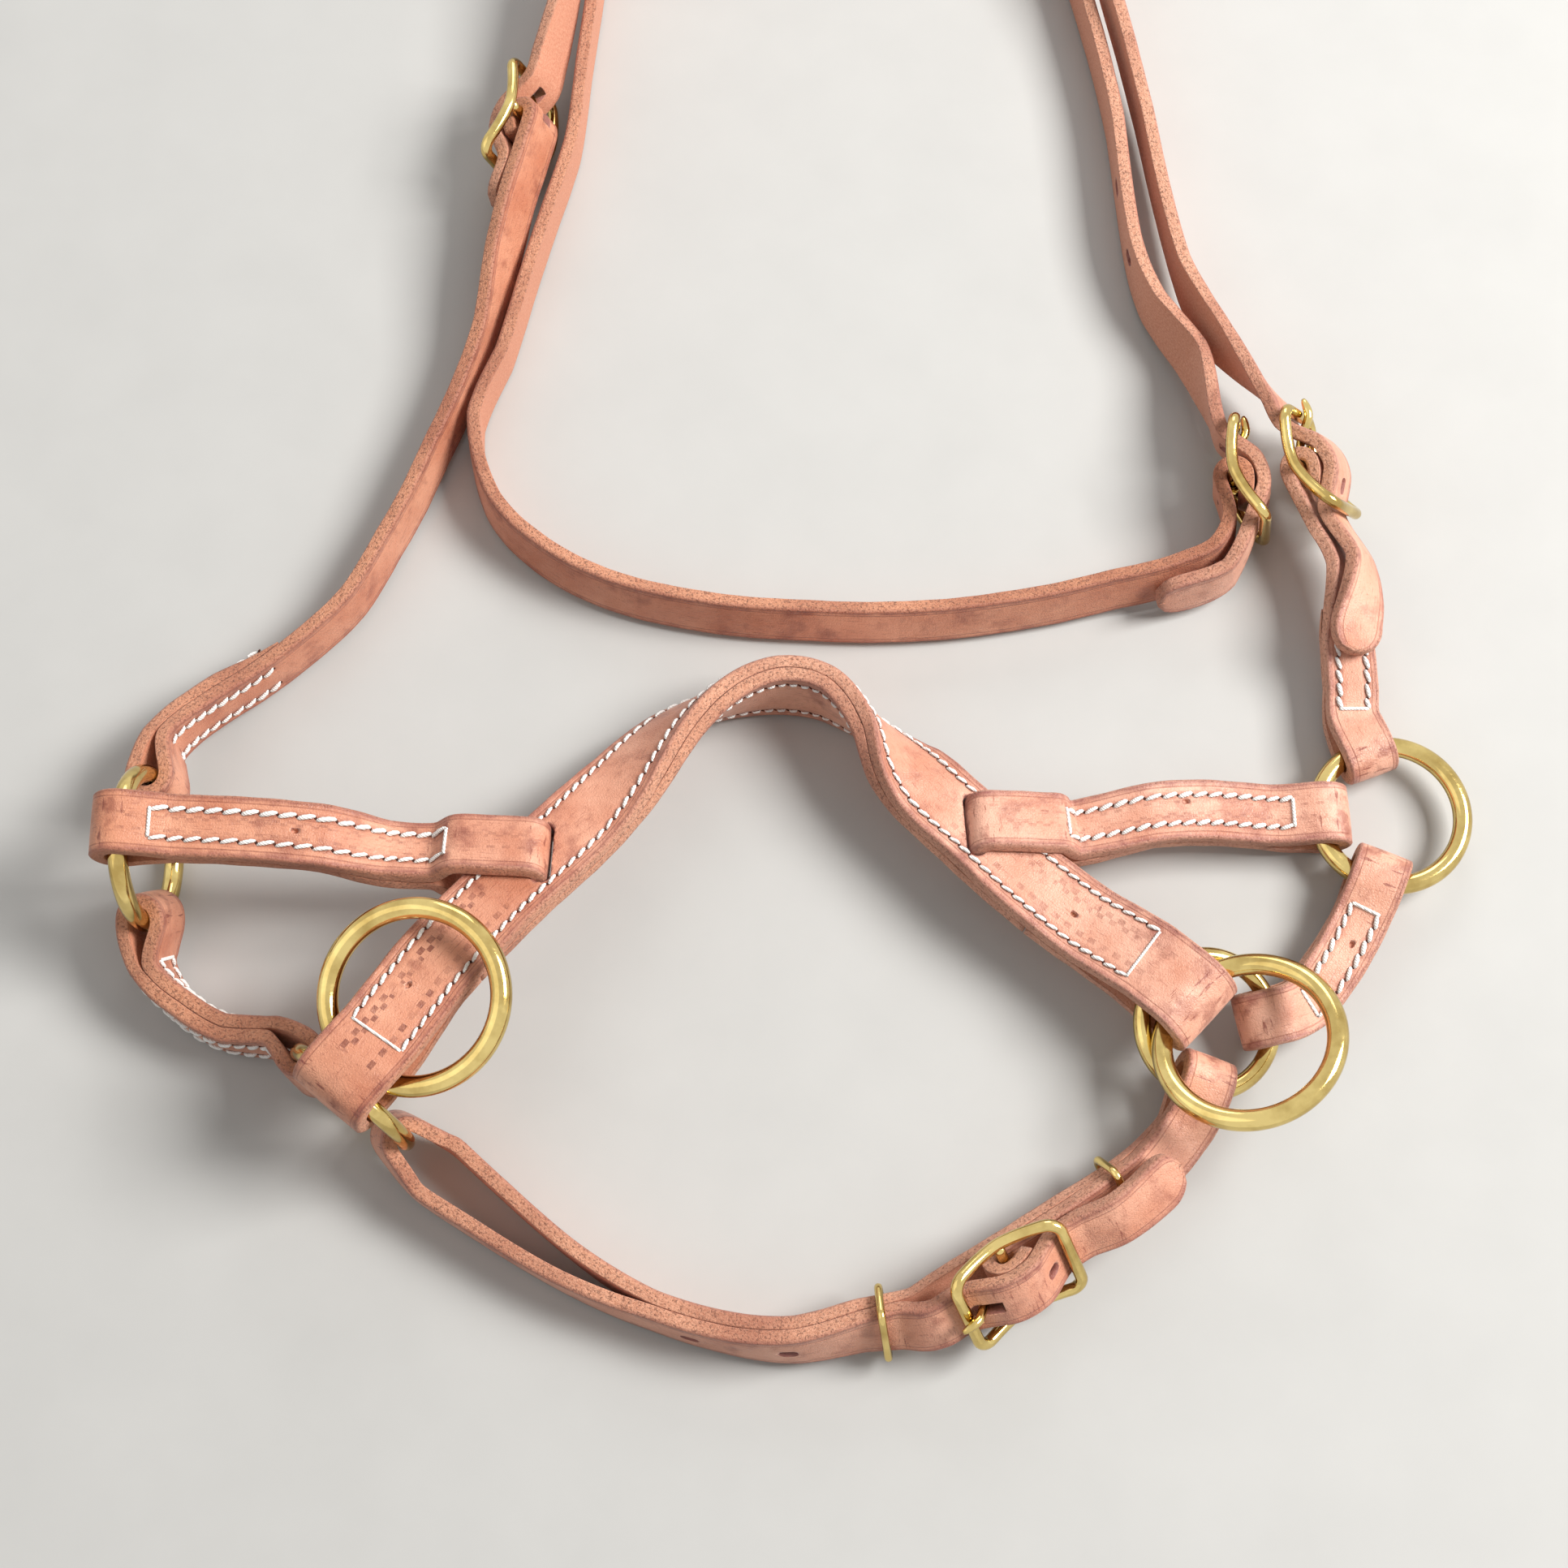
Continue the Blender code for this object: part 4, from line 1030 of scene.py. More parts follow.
@dataclass
class Cutter:
    """Rounded slot that is cut out of a strap."""

    centre: np.ndarray
    along: np.ndarray
    across: np.ndarray
    through: np.ndarray
    length: float
    wide: float
    deep: float
    steps: int = 28

    def cut(self, shop: Workshop, obj: bpy.types.Object) -> None:
        """Takes the slot out of a piece.

        Args:
            shop: Where the pieces are made.
            obj: The strap.
        """
        outline = []
        for k in range(self.steps):
            a = 2 * math.pi * (k + 0.5) / self.steps
            shift = math.copysign(max(self.length - self.wide, 0) / 2, math.cos(a))
            outline.append((shift + self.wide / 2 * math.cos(a), self.wide / 2 * math.sin(a)))
        verts = [self.centre + p * self.along + q * self.across + level * self.through
                 for level in (-self.deep / 2, self.deep / 2) for p, q in outline]
        tool = shop.object("slot_tool", np.array(verts), skin(2, self.steps, False))
        for zone in Zone:
            zone.lay(tool.data, [float(zone is Zone.EDGE)] * len(verts))
        mod = obj.modifiers.new("slot", "BOOLEAN")
        mod.operation = "DIFFERENCE"
        mod.solver = "EXACT"
        mod.object = tool
        graph = bpy.context.evaluated_depsgraph_get()
        made = bpy.data.meshes.new_from_object(obj.evaluated_get(graph))
        obj.modifiers.clear()
        obj.data = made
        bpy.data.objects.remove(tool)


def arc(radius: float, degrees: Iterable[int]) -> Profile:
    """Lays points on a circle at these angles."""
    return [(radius * math.cos(math.radians(a)), radius * math.sin(math.radians(a)))
            for a in degrees]


def punched(route: Route, s: float, n: float, room: float) -> Cutter:
    """Places a round hole that nothing is buckled through.

    Args:
        route: The strap's line.
        s: Distance along it.
        n: Height over it.
        room: Depth of the cut beyond the leather's thickness.

    Returns:
        The cut.
    """
    base, tangent, face, width = route.frame(s)
    return Cutter(base + n * face, tangent, width, face, SZ.hole_l * 0.75, SZ.hole_w * 0.9,
                  SZ.thick + room)


class Buckle:
    """Centre-bar buckle on a route, with the strap that carries it on one side."""

    CORNER = 4.0
    FRAME_FULLER = 1.08
    BAR_SHARE = 0.92
    PRONG_FULLER = 1.06
    SLOT = (13.0, 2 * SZ.prong_wire + 1.4, 12.8)
    ROUND = range(-90, -271, -30)
    HOOK = range(150, -126, -15)

    def __init__(self, name: str, route: Route, s: float, n: float, sense: int) -> None:
        """Places the bar on a route.

        Args:
            name: Start of the names of its pieces.
            route: The strap's line.
            s: Distance of the bar along it.
            n: Height of the bar over it.
            sense: 1 or -1, for the side of the carrying strap.
        """
        self.name = name
        self.route = route
        self.s = s
        self.n = n
        self.sense = sense
        base, tangent, self.face, self.width = route.frame(s)
        self.origin = base + n * self.face
        self.along = sense * tangent
        self.low = SZ.bow - SZ.buckle_wire - SZ.pass_gap - SZ.thick / 2

    def spot(self, s: float, n: float, w: float = 0.0) -> np.ndarray:
        """Gives a point in the buckle's own directions."""
        return self.origin + s * self.along + n * self.face + w * self.width

    def on_route(self, path: Iterable[tuple[float, float]]) -> Profile:
        """Moves a path from the buckle's own directions onto the route."""
        return [(self.s + self.sense * s, self.n + n) for s, n in path]

    def carrier(self) -> Profile:
        """Draws the strap that is folded round the bar.

        Returns:
            Its section line, tail last.
        """
        turn = SZ.buckle_wire + SZ.eye_clear + SZ.thick / 2
        out = [(12.0, -SZ.bar_depth), (5.0, -SZ.bar_depth)]
        out += arc(turn, self.ROUND)
        return self.on_route(out + [(4.0, turn - 1.2), (7.0, turn - 3.2)])

    def billet(self) -> Profile:
        """Draws the free strap: under the frame, over the bar, under.

        Returns:
            Its section line.
        """
        low = self.low
        top = SZ.buckle_wire + SZ.eye_clear + SZ.thick + SZ.pass_gap + SZ.thick / 2
        return self.on_route([(-24.0, low), (-16.0, low), (-12.5, low + 1.7), (-5.5, top - 1.2),
                              (0.0, top), (5.5, top - 0.8), (12.5, low + 2.2), (16.0, low),
                              (24.0, low)])

    def billet_spots(self, tip: float) -> list[tuple[np.ndarray, np.ndarray]]:
        """Lays a free strap through the buckle.

        Args:
            tip: Distance from the bar to its tip.

        Returns:
            Points and width directions, from the tip on.
        """
        path = self.on_route((s, self.low + 1.3) for s in np.arange(tip, 30.0, -10.0))
        path += self.billet()[::-1]
        return [(self.route.place(s, n), self.route.frame(s)[3]) for s, n in path]

    def carrier_cut(self) -> Cutter:
        """Gives the prong's slot in the carrying strap."""
        return Cutter(self.spot(-1.0, 0.1), self.along, self.width, self.face, *self.SLOT)

    def billet_cuts(self) -> list[Cutter]:
        """Places the holes of the free strap.

        Returns:
            The hole that the prong goes through, and the next one.
        """
        spare = unit(0.55 * self.along + self.face)
        return [Cutter(self.spot(-10.7, 4.3), self.along, self.width, self.face,
                       SZ.hole_l + 2.2, SZ.hole_w, 9.6),
                Cutter(self.spot(9.8, 6.6), unit(np.cross(self.width, spare)), self.width,
                       spare, SZ.hole_l * 0.68, SZ.hole_w * 0.85, 7.5)]

    def build(self, shop: Workshop) -> None:
        """Makes the frame with its bar, and the prong.

        Args:
            shop: Where the pieces are made.
        """
        points = cornered(SZ.buckle_half_l, SZ.buckle_half_w, self.CORNER, 10,
                          (11.0, 8.0, 5.0, 2.0, 0.0, -2.0, -5.0, -8.0, -11.0),
                          (5.0, 2.0, -2.0, -5.0))
        placed = np.array([self.spot(s, SZ.bow * (abs(s) / SZ.buckle_half_l) ** 1.6, w)
                           for s, w in points])
        radius = SZ.buckle_wire * self.FRAME_FULLER
        rim, rim_faces = tube(placed, [radius] * len(placed), True, 16)
        ends = np.array([self.spot(0, 0, w) for w in np.linspace(-1, 1, 9) * SZ.buckle_half_w])
        bar, bar_faces = tube(ends, [radius * self.BAR_SHARE] * len(ends), False, 16)
        faces = rim_faces + [tuple(i + len(rim) for i in f) for f in bar_faces]
        shop.brass(self.name + "_frame", np.vstack([rim, bar]), faces, ROOT_BODY)
        tip = SZ.bow + SZ.buckle_wire + SZ.prong_wire + 0.5
        path = arc(SZ.buckle_wire + 0.3 + SZ.prong_wire, self.HOOK)
        path += [(-6.0, 0.2), (-11.0, 3.7), (-15.0, tip - 0.7), (-SZ.buckle_half_l, tip),
                 (-SZ.buckle_half_l - 3.6, tip + 0.3)]
        fine = spline(np.array([self.spot(s, n) for s, n in path]), False,
                      lambda gap: max(1, int(gap / 0.8)))
        radii = np.full(len(fine), SZ.prong_wire * self.PRONG_FULLER)
        radii[-6:] *= np.array([1.0, 0.98, 0.94, 0.86, 0.72, 0.45])
        prong = self.name + "_prong"
        shop.brass(prong, *tube(fine, radii, False, 14), prong)


def ring_eye(route: Route, at_end: bool, ring: Ring, spoke: np.ndarray, width: float,
             reach: float, room: float = 0.0) -> Profile:
    """Wraps a strap round a ring's wire at one end of its route.

    Args:
        route: The strap's line.
        at_end: Whether it is the route's end.
        ring: The ring.
        spoke: Direction from the ring's middle to the fold.
        width: Width of the strap.
        reach: How far back the layers come together.
        room: What a strap needs that leaves the ring askew.

    Returns:
        The section line from the low layer round to the high one.
    """
    end = route.length if at_end else 0.0
    sense = 1 if at_end else -1
    _, tangent, face, _ = route.frame(end)
    s_off = ring.sag(width) / 2 * np.dot(spoke, sense * tangent)
    n_off = ring.sag(width) / 2 * np.dot(spoke, face)
    more = ASKEW_SHARE * room + (ASKEW_AIR if room else 0.0)
    wires = [(s_off + more, n_off, ring.wire), (-s_off - more, -n_off, ring.wire)]
    return eye(end, wires, reach, -SZ.half, SZ.half, sense)


def slot_eye(end: float, half_body: float, edge: float, reach: float) -> Profile:
    """Wraps a strap round the noseband's edge and back through its slot.

    Args:
        end: Distance along the strap's route where the slot is.
        half_body: Half of the thickness that it goes round.
        edge: Distance from the slot to the noseband's far edge.
        reach: How far back the layers come together.

    Returns:
        The section line from the low layer round to the high one.
    """
    corner = 0.9
    inward = corner + SZ.eye_clear + SZ.thick / 2
    level = half_body + 1.1 + SZ.thick / 2 - inward
    wires = [(s, n, corner) for s in (-inward, -edge) for n in (level, -level)]
    return eye(end, wires, reach, -SZ.half, SZ.half, 1)


def slack(width: float, leave: np.ndarray, spoke: np.ndarray) -> float:
    """Gives the room that a strap needs where it leaves a ring askew."""
    return width / 2 * float(np.linalg.norm(np.cross(leave, spoke)))


def along_with(v: np.ndarray, guide: np.ndarray) -> np.ndarray:
    """Turns a vector so that it doesn't point against another."""
    return v if np.dot(v, guide) > 0 else -v


@dataclass
class Assembly:
    """Part of the headstall: where it is made and the rings that it hangs on."""

    shop: Workshop
    rings: RingSet

    def lay(self, band: Band, sewing: Stitching | None = None, cuts: Iterable[Cutter] = (),
            is_node: bool = True) -> None:
        """Makes a strap with its cuts, awl holes and stitches and hands it over.

        Args:
            band: The strap.
            sewing: Kind of its stitches, if it has any.
            cuts: Slots and holes.
            is_node: Whether it stands for the CAD node of its name.
        """
        obj = band.build(self.shop)
        for cutter in cuts:
            cutter.cut(self.shop, obj)
        band.prick(self.shop, obj)
        self.shop.hand_over(obj, ROOT_BODY, SLOT_LEATHER, [band.name] if is_node else [])
        if sewing:
            sewing.build(self.shop, band)


@dataclass
class Noseband(Assembly):
    """Doubled noseband, folded round both rings at each end."""

    tail: float = 48.0
    row_w: float = 8.5
    slot_left: np.ndarray = field(default_factory=lambda: vec(-70.7, -24.1, 29.0))
    slot_right: np.ndarray = field(default_factory=lambda: vec(56.1, -11.7, 17.5))
    bar_left: float = 15.5
    bar_right: float = 15.5
    pitch: float = 4.15
    fold_reach: float = 34.0
    slot_deep: float = 26.0
    slot_air: tuple[float, float] = (1.6, 1.8)

    def __post_init__(self) -> None:
        """Lays the route and the two layers."""
        r = self.rings
        dir_left = unit(vec(0.65, 0.725, -0.225))
        dir_right = unit(vec(0.714, -0.70, 0.02))
        left, right = self.slot_left, self.slot_right
        self.route = Route([
            (*r.nose_left, 0), (*(r.nose_left - 15 * r.out_left), 0), (-100.9, -60.2, 39.0, 3),
            (*(left - 18 * dir_left), 10), (*left, 10), (*(left + 18 * dir_left), 12),
            (-47.7, 2.7, 21.5, 30), (-33.5, 20.5, 18.0, 56), (-18.8, 31.1, 15.2, 80),
            (-2.2, 36.2, 13.6, 96), (13.4, 33.3, 14.0, 94), (28.1, 19.8, 15.2, 68),
            (35.6, 9.4, 16.4, 36), (*(right - 18 * dir_right), 14), (*right, 14),
            (*(right + 18 * dir_right), 12), (88.0, -39.8, 17.4, 5),
            (*(r.nose_right - 15 * r.out_right), 0), (*r.nose_right, 0)])
        length = self.route.length
        swing = [(0.2, 0.98), (0.7, 0.7), (0.98, 0.2)]
        wires_left = [(0, r.chin_sag / 2, r.chin_wire), (0, -r.chin_sag / 2, r.chin_wire),
                      (-r.pitch_left, -r.rest, r.rein_wire)]
        wires_left += [(-r.pitch_left - r.rein_sag * c, r.rein_sag * n - r.rest, r.rein_wire)
                       for n, c in swing]
        wires_right = [(0, 0, r.rein_wire), (-r.pitch_right, 0, r.chin_wire),
                       (-r.pitch_right + r.chin_sag * 0.97, -r.chin_sag * 0.24, r.chin_wire)]
        wires_right += [(r.rein_sag * c, r.rein_sag * n, r.rein_wire) for n, c in swing]
        fold_left = eye(0.0, wires_left, self.fold_reach, -SZ.half, SZ.half, -1)
        fold_right = eye(length, wires_right, self.fold_reach, -SZ.half, SZ.half, 1)
        profile = [(self.tail, -SZ.half)] + fold_left + fold_right[::-1]
        profile += [(length - self.tail, -SZ.half)]
        start, end = self.bar_left, length - self.bar_right
        rows = [StitchRow(start, end, w, Side.TOP, self.pitch, True, True)
                for w in (self.row_w, -self.row_w)]
        rows += [StitchRow(a, b, w, Side.BOTTOM, self.pitch)
                 for w in (self.row_w, -self.row_w)
                 for a, b in ((start, self.tail - 2), (length - self.tail + 2, end))]
        # The noseband's leather is darkened at its left end and left pale at its right: partly
        # real tone, partly painted shade; the lining likewise.
        self.outer = Band("noseband_outer", self.route, profile, SZ.nose_w, rows=rows,
                          stamps=[(start - 9, start + 52, 1.0), (end - 70, end + 6, 0.5)],
                          awls=[(start + 17.0, 1.5), (end - 24.0, -1.0)], lane=4.9,
                          tan=(0.75, 0.0))
        low = -SZ.half - 0.02
        under = [StitchRow(self.tail + 3, length - self.tail - 3, w, Side.BOTTOM, self.pitch)
                 for w in (self.row_w, -self.row_w)]
        self.lining = Band("noseband_lining", self.route,
                           [(self.tail + 0.6, low), (length - self.tail - 0.6, low)],
                           SZ.nose_w, outer=-1, rows=under, phase=1.7, tan=(0.8, 0.1))

    def slot_frames(self) -> list[tuple[np.ndarray, ...]]:
        """Finds how both slots lie.

        Returns:
            Place, direction in, direction across and face of each.
        """
        out = []
        for place, push in ((self.slot_left, vec(1, -0.03, 0)),
                            (self.slot_right, vec(-1, -0.06, 0))):
            face = self.route.frame(self.route.nearest(place[0], place[1]))[2]
            into = unit(push - np.dot(push, face) * face)
            out.append((place, into, np.cross(face, into), face))
        return out

    def build(self) -> None:
        """Makes both layers, their slots, awl holes and stitches."""
        for band, sewing in ((self.outer, Stitching(0.57, 0.86, 0.42, 0.40, 0.5)),
                             (self.lining, Stitching(0.46, 0.60, 0.20, 0.28, 0.45))):
            self.lay(band, sewing, [
                Cutter(place, across, into, face, SZ.connect_w + self.slot_air[0],
                       SZ.thick + self.slot_air[1], self.slot_deep)
                for place, into, across, face in self.slot_frames()])


@dataclass
class Connectors(Assembly):
    """Straps from the cheek rings through the noseband's slots."""

    noseband: Noseband
    row_w: float = 4.4
    eye_reach: float = 16
    slot_edge: float = 25.0
    slot_reach: float = 31.0
    margins: tuple[float, float] = (9.0, 27.0)

    def build(self) -> None:
        """Makes both connectors."""
        r = self.rings
        left, right = self.noseband.slot_frames()
        west = unit(vec(-1, -0.03, 0))
        # The last entry of each look darkens the leather, the left connector much more: partly
        # real tone, partly painted shade.
        for name, ring, spoke, step, middle, (slot, into, across, _), look in (
                ("left_connector", r.cheek_left, r.cheek_top, vec(14, 0, -0.6),
                 [vec(-155, -19.6, 43.2), vec(-133, -20.6, 39.5), left[0] - 46 * left[1] + UP],
                 left, (0.4, 5.3, 0.0, (0.9, 0.45))),
                ("right_connector", r.cheek_right, west, 12 * west,
                 [vec(130, -4.2, 12.0), vec(110, -6.0, 15.0)],
                 right, (2.3, 4.6, -2.4, (0.05, 0.05)))):
            phase, pitch, awl_w, tan = look
            hold, along = ring.hold(spoke, SZ.connect_w)
            line = [hold, hold + step, *middle, slot - 32 * into, slot - 14 * into, slot]
            across = along_with(across, along)
            route = Route(controls_from(line, [along] * 4 + [across] * (len(line) - 4), 0))
            first = ring_eye(route, False, ring, spoke, SZ.connect_w, self.eye_reach)
            second = slot_eye(route.length, SZ.pitch, self.slot_edge, self.slot_reach)
            start, end = self.margins[0], route.length - self.margins[1]
            self.lay(Band(name, route, first + second[::-1], SZ.connect_w, True,
                          rows=paired_rows(start, end, self.row_w, pitch),
                          stamps=[(0.0, route.length - 6.0, 0.45)],
                          awls=[(start + 0.47 * (end - start), awl_w)], lane=2.3,
                          phase=phase, tan=tan), Stitching())


@dataclass
class Diagonals(Assembly):
    """Doubled straps from the cheek rings to the chin rings."""

    row_w: float = 4.3
    pitch: float = 4.6
    eye_reach: float = 14

    def build(self) -> None:
        """Makes both diagonals."""
        r = self.rings
        dip_a, dip_b = math.radians(20), math.radians(18)
        spoke_a = -math.cos(dip_a) * vec(0, 1, 0) - math.sin(dip_a) * r.cheek_top
        level = toward(np.cross(UP, r.out_left), 0)
        spoke_b = unit(-math.cos(dip_b) * level - math.sin(dip_b) * UP)
        hold_a, along_a = r.cheek_left.hold(spoke_a, SZ.diag_w)
        hold_b, along_b = r.chin_left.hold(spoke_b, SZ.diag_w)
        line = [hold_a, hold_a + 14 * spoke_a, vec(-177, -64, 10.2), vec(-164, -71.5, 9.4),
                hold_b + 13 * spoke_b, hold_b]
        up_a, up_b = toward(along_a, 2), toward(along_b, 2)
        route = Route(controls_from(line, [up_a, up_a, UP, UP, up_b, up_b], 90))
        first = ring_eye(route, False, r.cheek_left, spoke_a, SZ.diag_w, self.eye_reach)
        second = ring_eye(route, True, r.chin_left, spoke_b, SZ.diag_w, self.eye_reach)
        # The last pair darkens the leather, the left diagonal more than the right: partly real
        # tone, partly painted shade.
        self._strap("left_diagonal", route, first + second[::-1], 12.0, (0.75, 0.75))
        spoke_a = unit(vec(-0.27, -0.963, 0))
        spoke_b = r.chin_right.spoke(vec(0.993, 0.12, 0))
        hold_a, along_a = r.cheek_right.hold(spoke_a, SZ.diag_w)
        hold_b, _ = r.chin_right.hold(spoke_b, SZ.diag_w)
        straight = unit(hold_b - hold_a)
        leave_a = unit(spoke_a + 0.55 * straight)
        leave_b = unit(spoke_b - 0.45 * straight)
        line = [hold_a, hold_a + 12 * leave_a, hold_b + 12 * leave_b, hold_b]
        flat_a = along_with(np.cross(UP, leave_a), along_a)
        flat_b = along_with(np.cross(r.chin_right.axis, leave_b), along_a)
        route = Route(controls_from(line, [flat_a, flat_a, flat_b, flat_b], 0))
        first = ring_eye(route, False, r.cheek_right, spoke_a, SZ.diag_w, self.eye_reach,
                         slack(SZ.diag_w, leave_a, spoke_a))
        second = ring_eye(route, True, r.chin_right, spoke_b, SZ.diag_w, self.eye_reach,
                          slack(SZ.diag_w, leave_b, spoke_b))
        self._strap("right_diagonal", route, first + second[::-1], 11.0, (0.25, 0.1))

    def _strap(self, name: str, route: Route, profile: Profile, margin: float,
               tan: tuple[float, float]) -> None:
        """Makes one diagonal with its stitches.

        Args:
            name: Its name.
            route: Its line.
            profile: Its section line, closed.
            margin: Distance from its ends to the stitches.
            tan: Darkness of its leather at both ends, partly real tanning and partly painted
                shade.
        """
        self.lay(Band(name, route, profile, SZ.diag_w, True,
                      rows=paired_rows(margin, route.length - margin, self.row_w, self.pitch),
                      awls=[(0.4 * route.length, 0.8)], phase=3.1, tan=tan), Stitching())


@dataclass
class CheekStraps(Assembly):
    """The long left and the short right cheek strap, each with its buckle."""

    row_w: float = 4.3
    eye_reach: float = 15

    def __post_init__(self) -> None:
        """Lays both routes and places their buckles."""
        r = self.rings
        dip = math.radians(12)
        self.spoke_left = math.cos(dip) * vec(0, 1, 0) - math.sin(dip) * r.cheek_top
        hold, along = r.cheek_left.hold(self.spoke_left, SZ.strap_w)
        along = toward(along, 2)
        spot = vec(-81.3, 230.0, 18.4)
        heading = unit(vec(0.243, 0.97, 0))
        line = [hold, hold + 14 * self.spoke_left, vec(-178.5, 27.5, 13.0),
                vec(-164.2, 39.6, 9.4), vec(-149.2, 52.5, 8.8), vec(-135.7, 67.0, 8.8),
                vec(-126.1, 85.5, 8.8), vec(-118.5, 101.5, 8.8), vec(-112.0, 118.3, 9.0),
                vec(-104.5, 137.0, 9.6), vec(-97.6, 160.0, 11.5), vec(-92.4, 184.0, 15.2),
                spot - 29 * heading, spot - 20 * heading, spot, spot + 5 * heading]
        sides = [along, along] + [vec(-0.14, 0.10, 0.97)] * 9 + [vec(-0.44, 0.11, 0.89)] * 5
        self.left = Route(controls_from(line, sides, 100))
        self.buckle_left = Buckle("left_cheek_buckle", self.left, self.left.length - 5.0,
                                  SZ.bar_depth - SZ.half, -1)
        self.spoke_right = unit(vec(-0.30, 0.95, 0))
        hold, along = r.cheek_right.hold(self.spoke_right, SZ.strap_w)
        along = along * -np.sign(along[0])
        heading = unit(vec(-0.38, 0.92, 0))
        spot = vec(158.5, 104.0, 14.5)
        line = [hold, hold + 11 * self.spoke_right, vec(174.2, 36.0, 10.5),
                vec(173.4, 52.0, 11.5), spot - 32 * heading, spot - 20 * heading, spot,
                spot + 6 * heading]
        sides = [along, along, vec(-1, 0, 0.03), vec(-0.98, 0, 0.15)]
        sides += [vec(-0.49, -0.20, 0.85)] * 4
        self.right = Route(controls_from(line, sides, 0))
        self.buckle_right = Buckle("right_cheek_buckle", self.right, self.right.length - 6.0,
                                   SZ.half + SZ.bar_depth, -1)

    def build(self) -> None:
        """Makes both straps with their stitches; the crown makes their buckles."""
        fold = ring_eye(self.left, False, self.rings.cheek_left, self.spoke_left, SZ.strap_w,
                        self.eye_reach)
        # The left strap's leather is darkened and the right one's left pale: partly real tone,
        # partly painted shade.
        left = Band("left_cheek_strap", self.left,
                    [(62.0, SZ.half)] + fold[::-1] + self.buckle_left.carrier(), SZ.strap_w,
                    outer=-1, rows=paired_rows(12.0, 56.0, self.row_w, 4.6, False),
                    skived=("start",), phase=0.9, tan=(0.7, 0.85))
        fold = ring_eye(self.right, False, self.rings.cheek_right, self.spoke_right, SZ.strap_w,
                        self.eye_reach)
        right = Band("right_cheek_strap", self.right,
                     [(46.0, -SZ.half)] + fold + self.buckle_right.carrier(), SZ.strap_w,
                     rows=paired_rows(13.0, 34.0, self.row_w, 4.2), skived=("start",),
                     phase=2.6, tan=(0.1, 0.15))
        for band, buckle in ((left, self.buckle_left), (right, self.buckle_right)):
            self.lay(band, Stitching(), [buckle.carrier_cut()])


@dataclass
class ChinStrap(Assembly):
    """Long strap doubled through both chin rings, with its buckle and keepers."""

    tip_lift: float = 3.8
    keeper_air: tuple[float, float] = (0.4, 0.5)
    keeper_corner: float = 2.5
    fold_reach: float = 88.0
    eye_reach: float = 14

    def build(self) -> None:
        """Makes the strap, its buckle and both keepers."""
        r = self.rings
        level = np.cross(UP, r.out_left)
        dip = math.radians(25)
        spoke_a = math.cos(dip) * level - math.sin(dip) * UP
        spoke_b = r.chin_right.spoke(vec(-0.11, -0.994, 0))
        hold_a, along_a = r.chin_left.hold(spoke_a, SZ.strap_w)
        hold_b, _ = r.chin_right.hold(spoke_b, SZ.strap_w)
        along_a = toward(along_a, 2)
        leave_b = unit(spoke_b + vec(-0.42, -0.33, 0))
        flat_b = -toward(np.cross(r.chin_right.axis, leave_b), 0)
        heading = unit(vec(0.853, 0.52, 0))
        spot = vec(62.0, -139.5, 12.8)
        line = [hold_a, hold_a + 11 * spoke_a, vec(-85, -123.5, 8.6), vec(-63, -139.0, 8.5),
                vec(-40, -151.0, 8.7), vec(-15, -158.6, 9.3), vec(4, -160.4, 10.3),
                vec(22, -156.6, 11.6), spot - 28 * heading, spot - 20 * heading, spot,
                spot + 20 * heading, spot + 28 * heading, vec(104.0, -113.4, 11.6),
                hold_b + 12 * leave_b, hold_b]
        tilted = [vec(0, 0.1, 0.98), vec(0, 0.15, 0.97), vec(0, 0.3, 0.95),
                  vec(-0.05, 0.45, 0.88)]
        tilted += [vec(-0.37, 0.6, 0.72)] * 4 + [vec(-0.38, 0.62, 0.70), vec(-0.6, 0.6, 0.5)]
        route = Route(controls_from(line, [along_a, along_a, UP, UP] + tilted
                                    + [flat_b, flat_b], -90))
        buckle = Buckle("chin_buckle", route, route.nearest(spot[0], spot[1]),
                        SZ.half + SZ.bar_depth, 1)
        off = r.chin_left.sag(SZ.strap_w) / 2
        spread = [(off, 0, r.chin_wire), (-off, 0, r.chin_wire), (-14.0, 0, 6.0)]
        loop_left = eye(0.0, spread, self.fold_reach, -SZ.half, SZ.half, -1)
        loop_right = ring_eye(route, True, r.chin_right, spoke_b, SZ.strap_w, self.eye_reach,
                              slack(SZ.strap_w, leave_b, spoke_b))
        free = buckle.billet()
        profile = buckle.carrier()[::-1] + loop_right[::-1] + loop_left
        profile += [(free[0][0] - 9.0, SZ.half)] + free
        last_s, last_n = free[-1][0], free[-1][1] + self.tip_lift
        profile += [(last_s + d, last_n) for d in (10.0, 24.0, 28.0, 31.0)]
        holes = ((route.nearest(-25.5, -157.0), SZ.half), (route.nearest(1.0, -160.4), SZ.half),
                 (buckle.s + 30.0, buckle.n + 0.4))
        # The last pair darkens the leather: partly real tone, partly painted shade.
        self.lay(Band("chin_strap", route, profile, SZ.strap_w, tips=("end",), phase=4.0,
                      tan=(0.6, 0.35)),
                 cuts=[punched(route, s, n, 0.5) for s, n in holes]
                 + [buckle.carrier_cut()] + buckle.billet_cuts())
        buckle.build(self.shop)
        loop = cornered(SZ.pitch + SZ.keeper_wire + self.keeper_air[0],
                        SZ.strap_w / 2 + SZ.keeper_wire + self.keeper_air[1],
                        self.keeper_corner, 15)
        for name, s in (("left_keeper", route.nearest(28.0, -154.0)),
                        ("right_keeper", buckle.s + 40.0)):
            points = np.array([route.place(s, n, w) for n, w in loop])
            self.shop.brass(name, *tube(points, [SZ.keeper_wire] * len(points), True, 14), name)


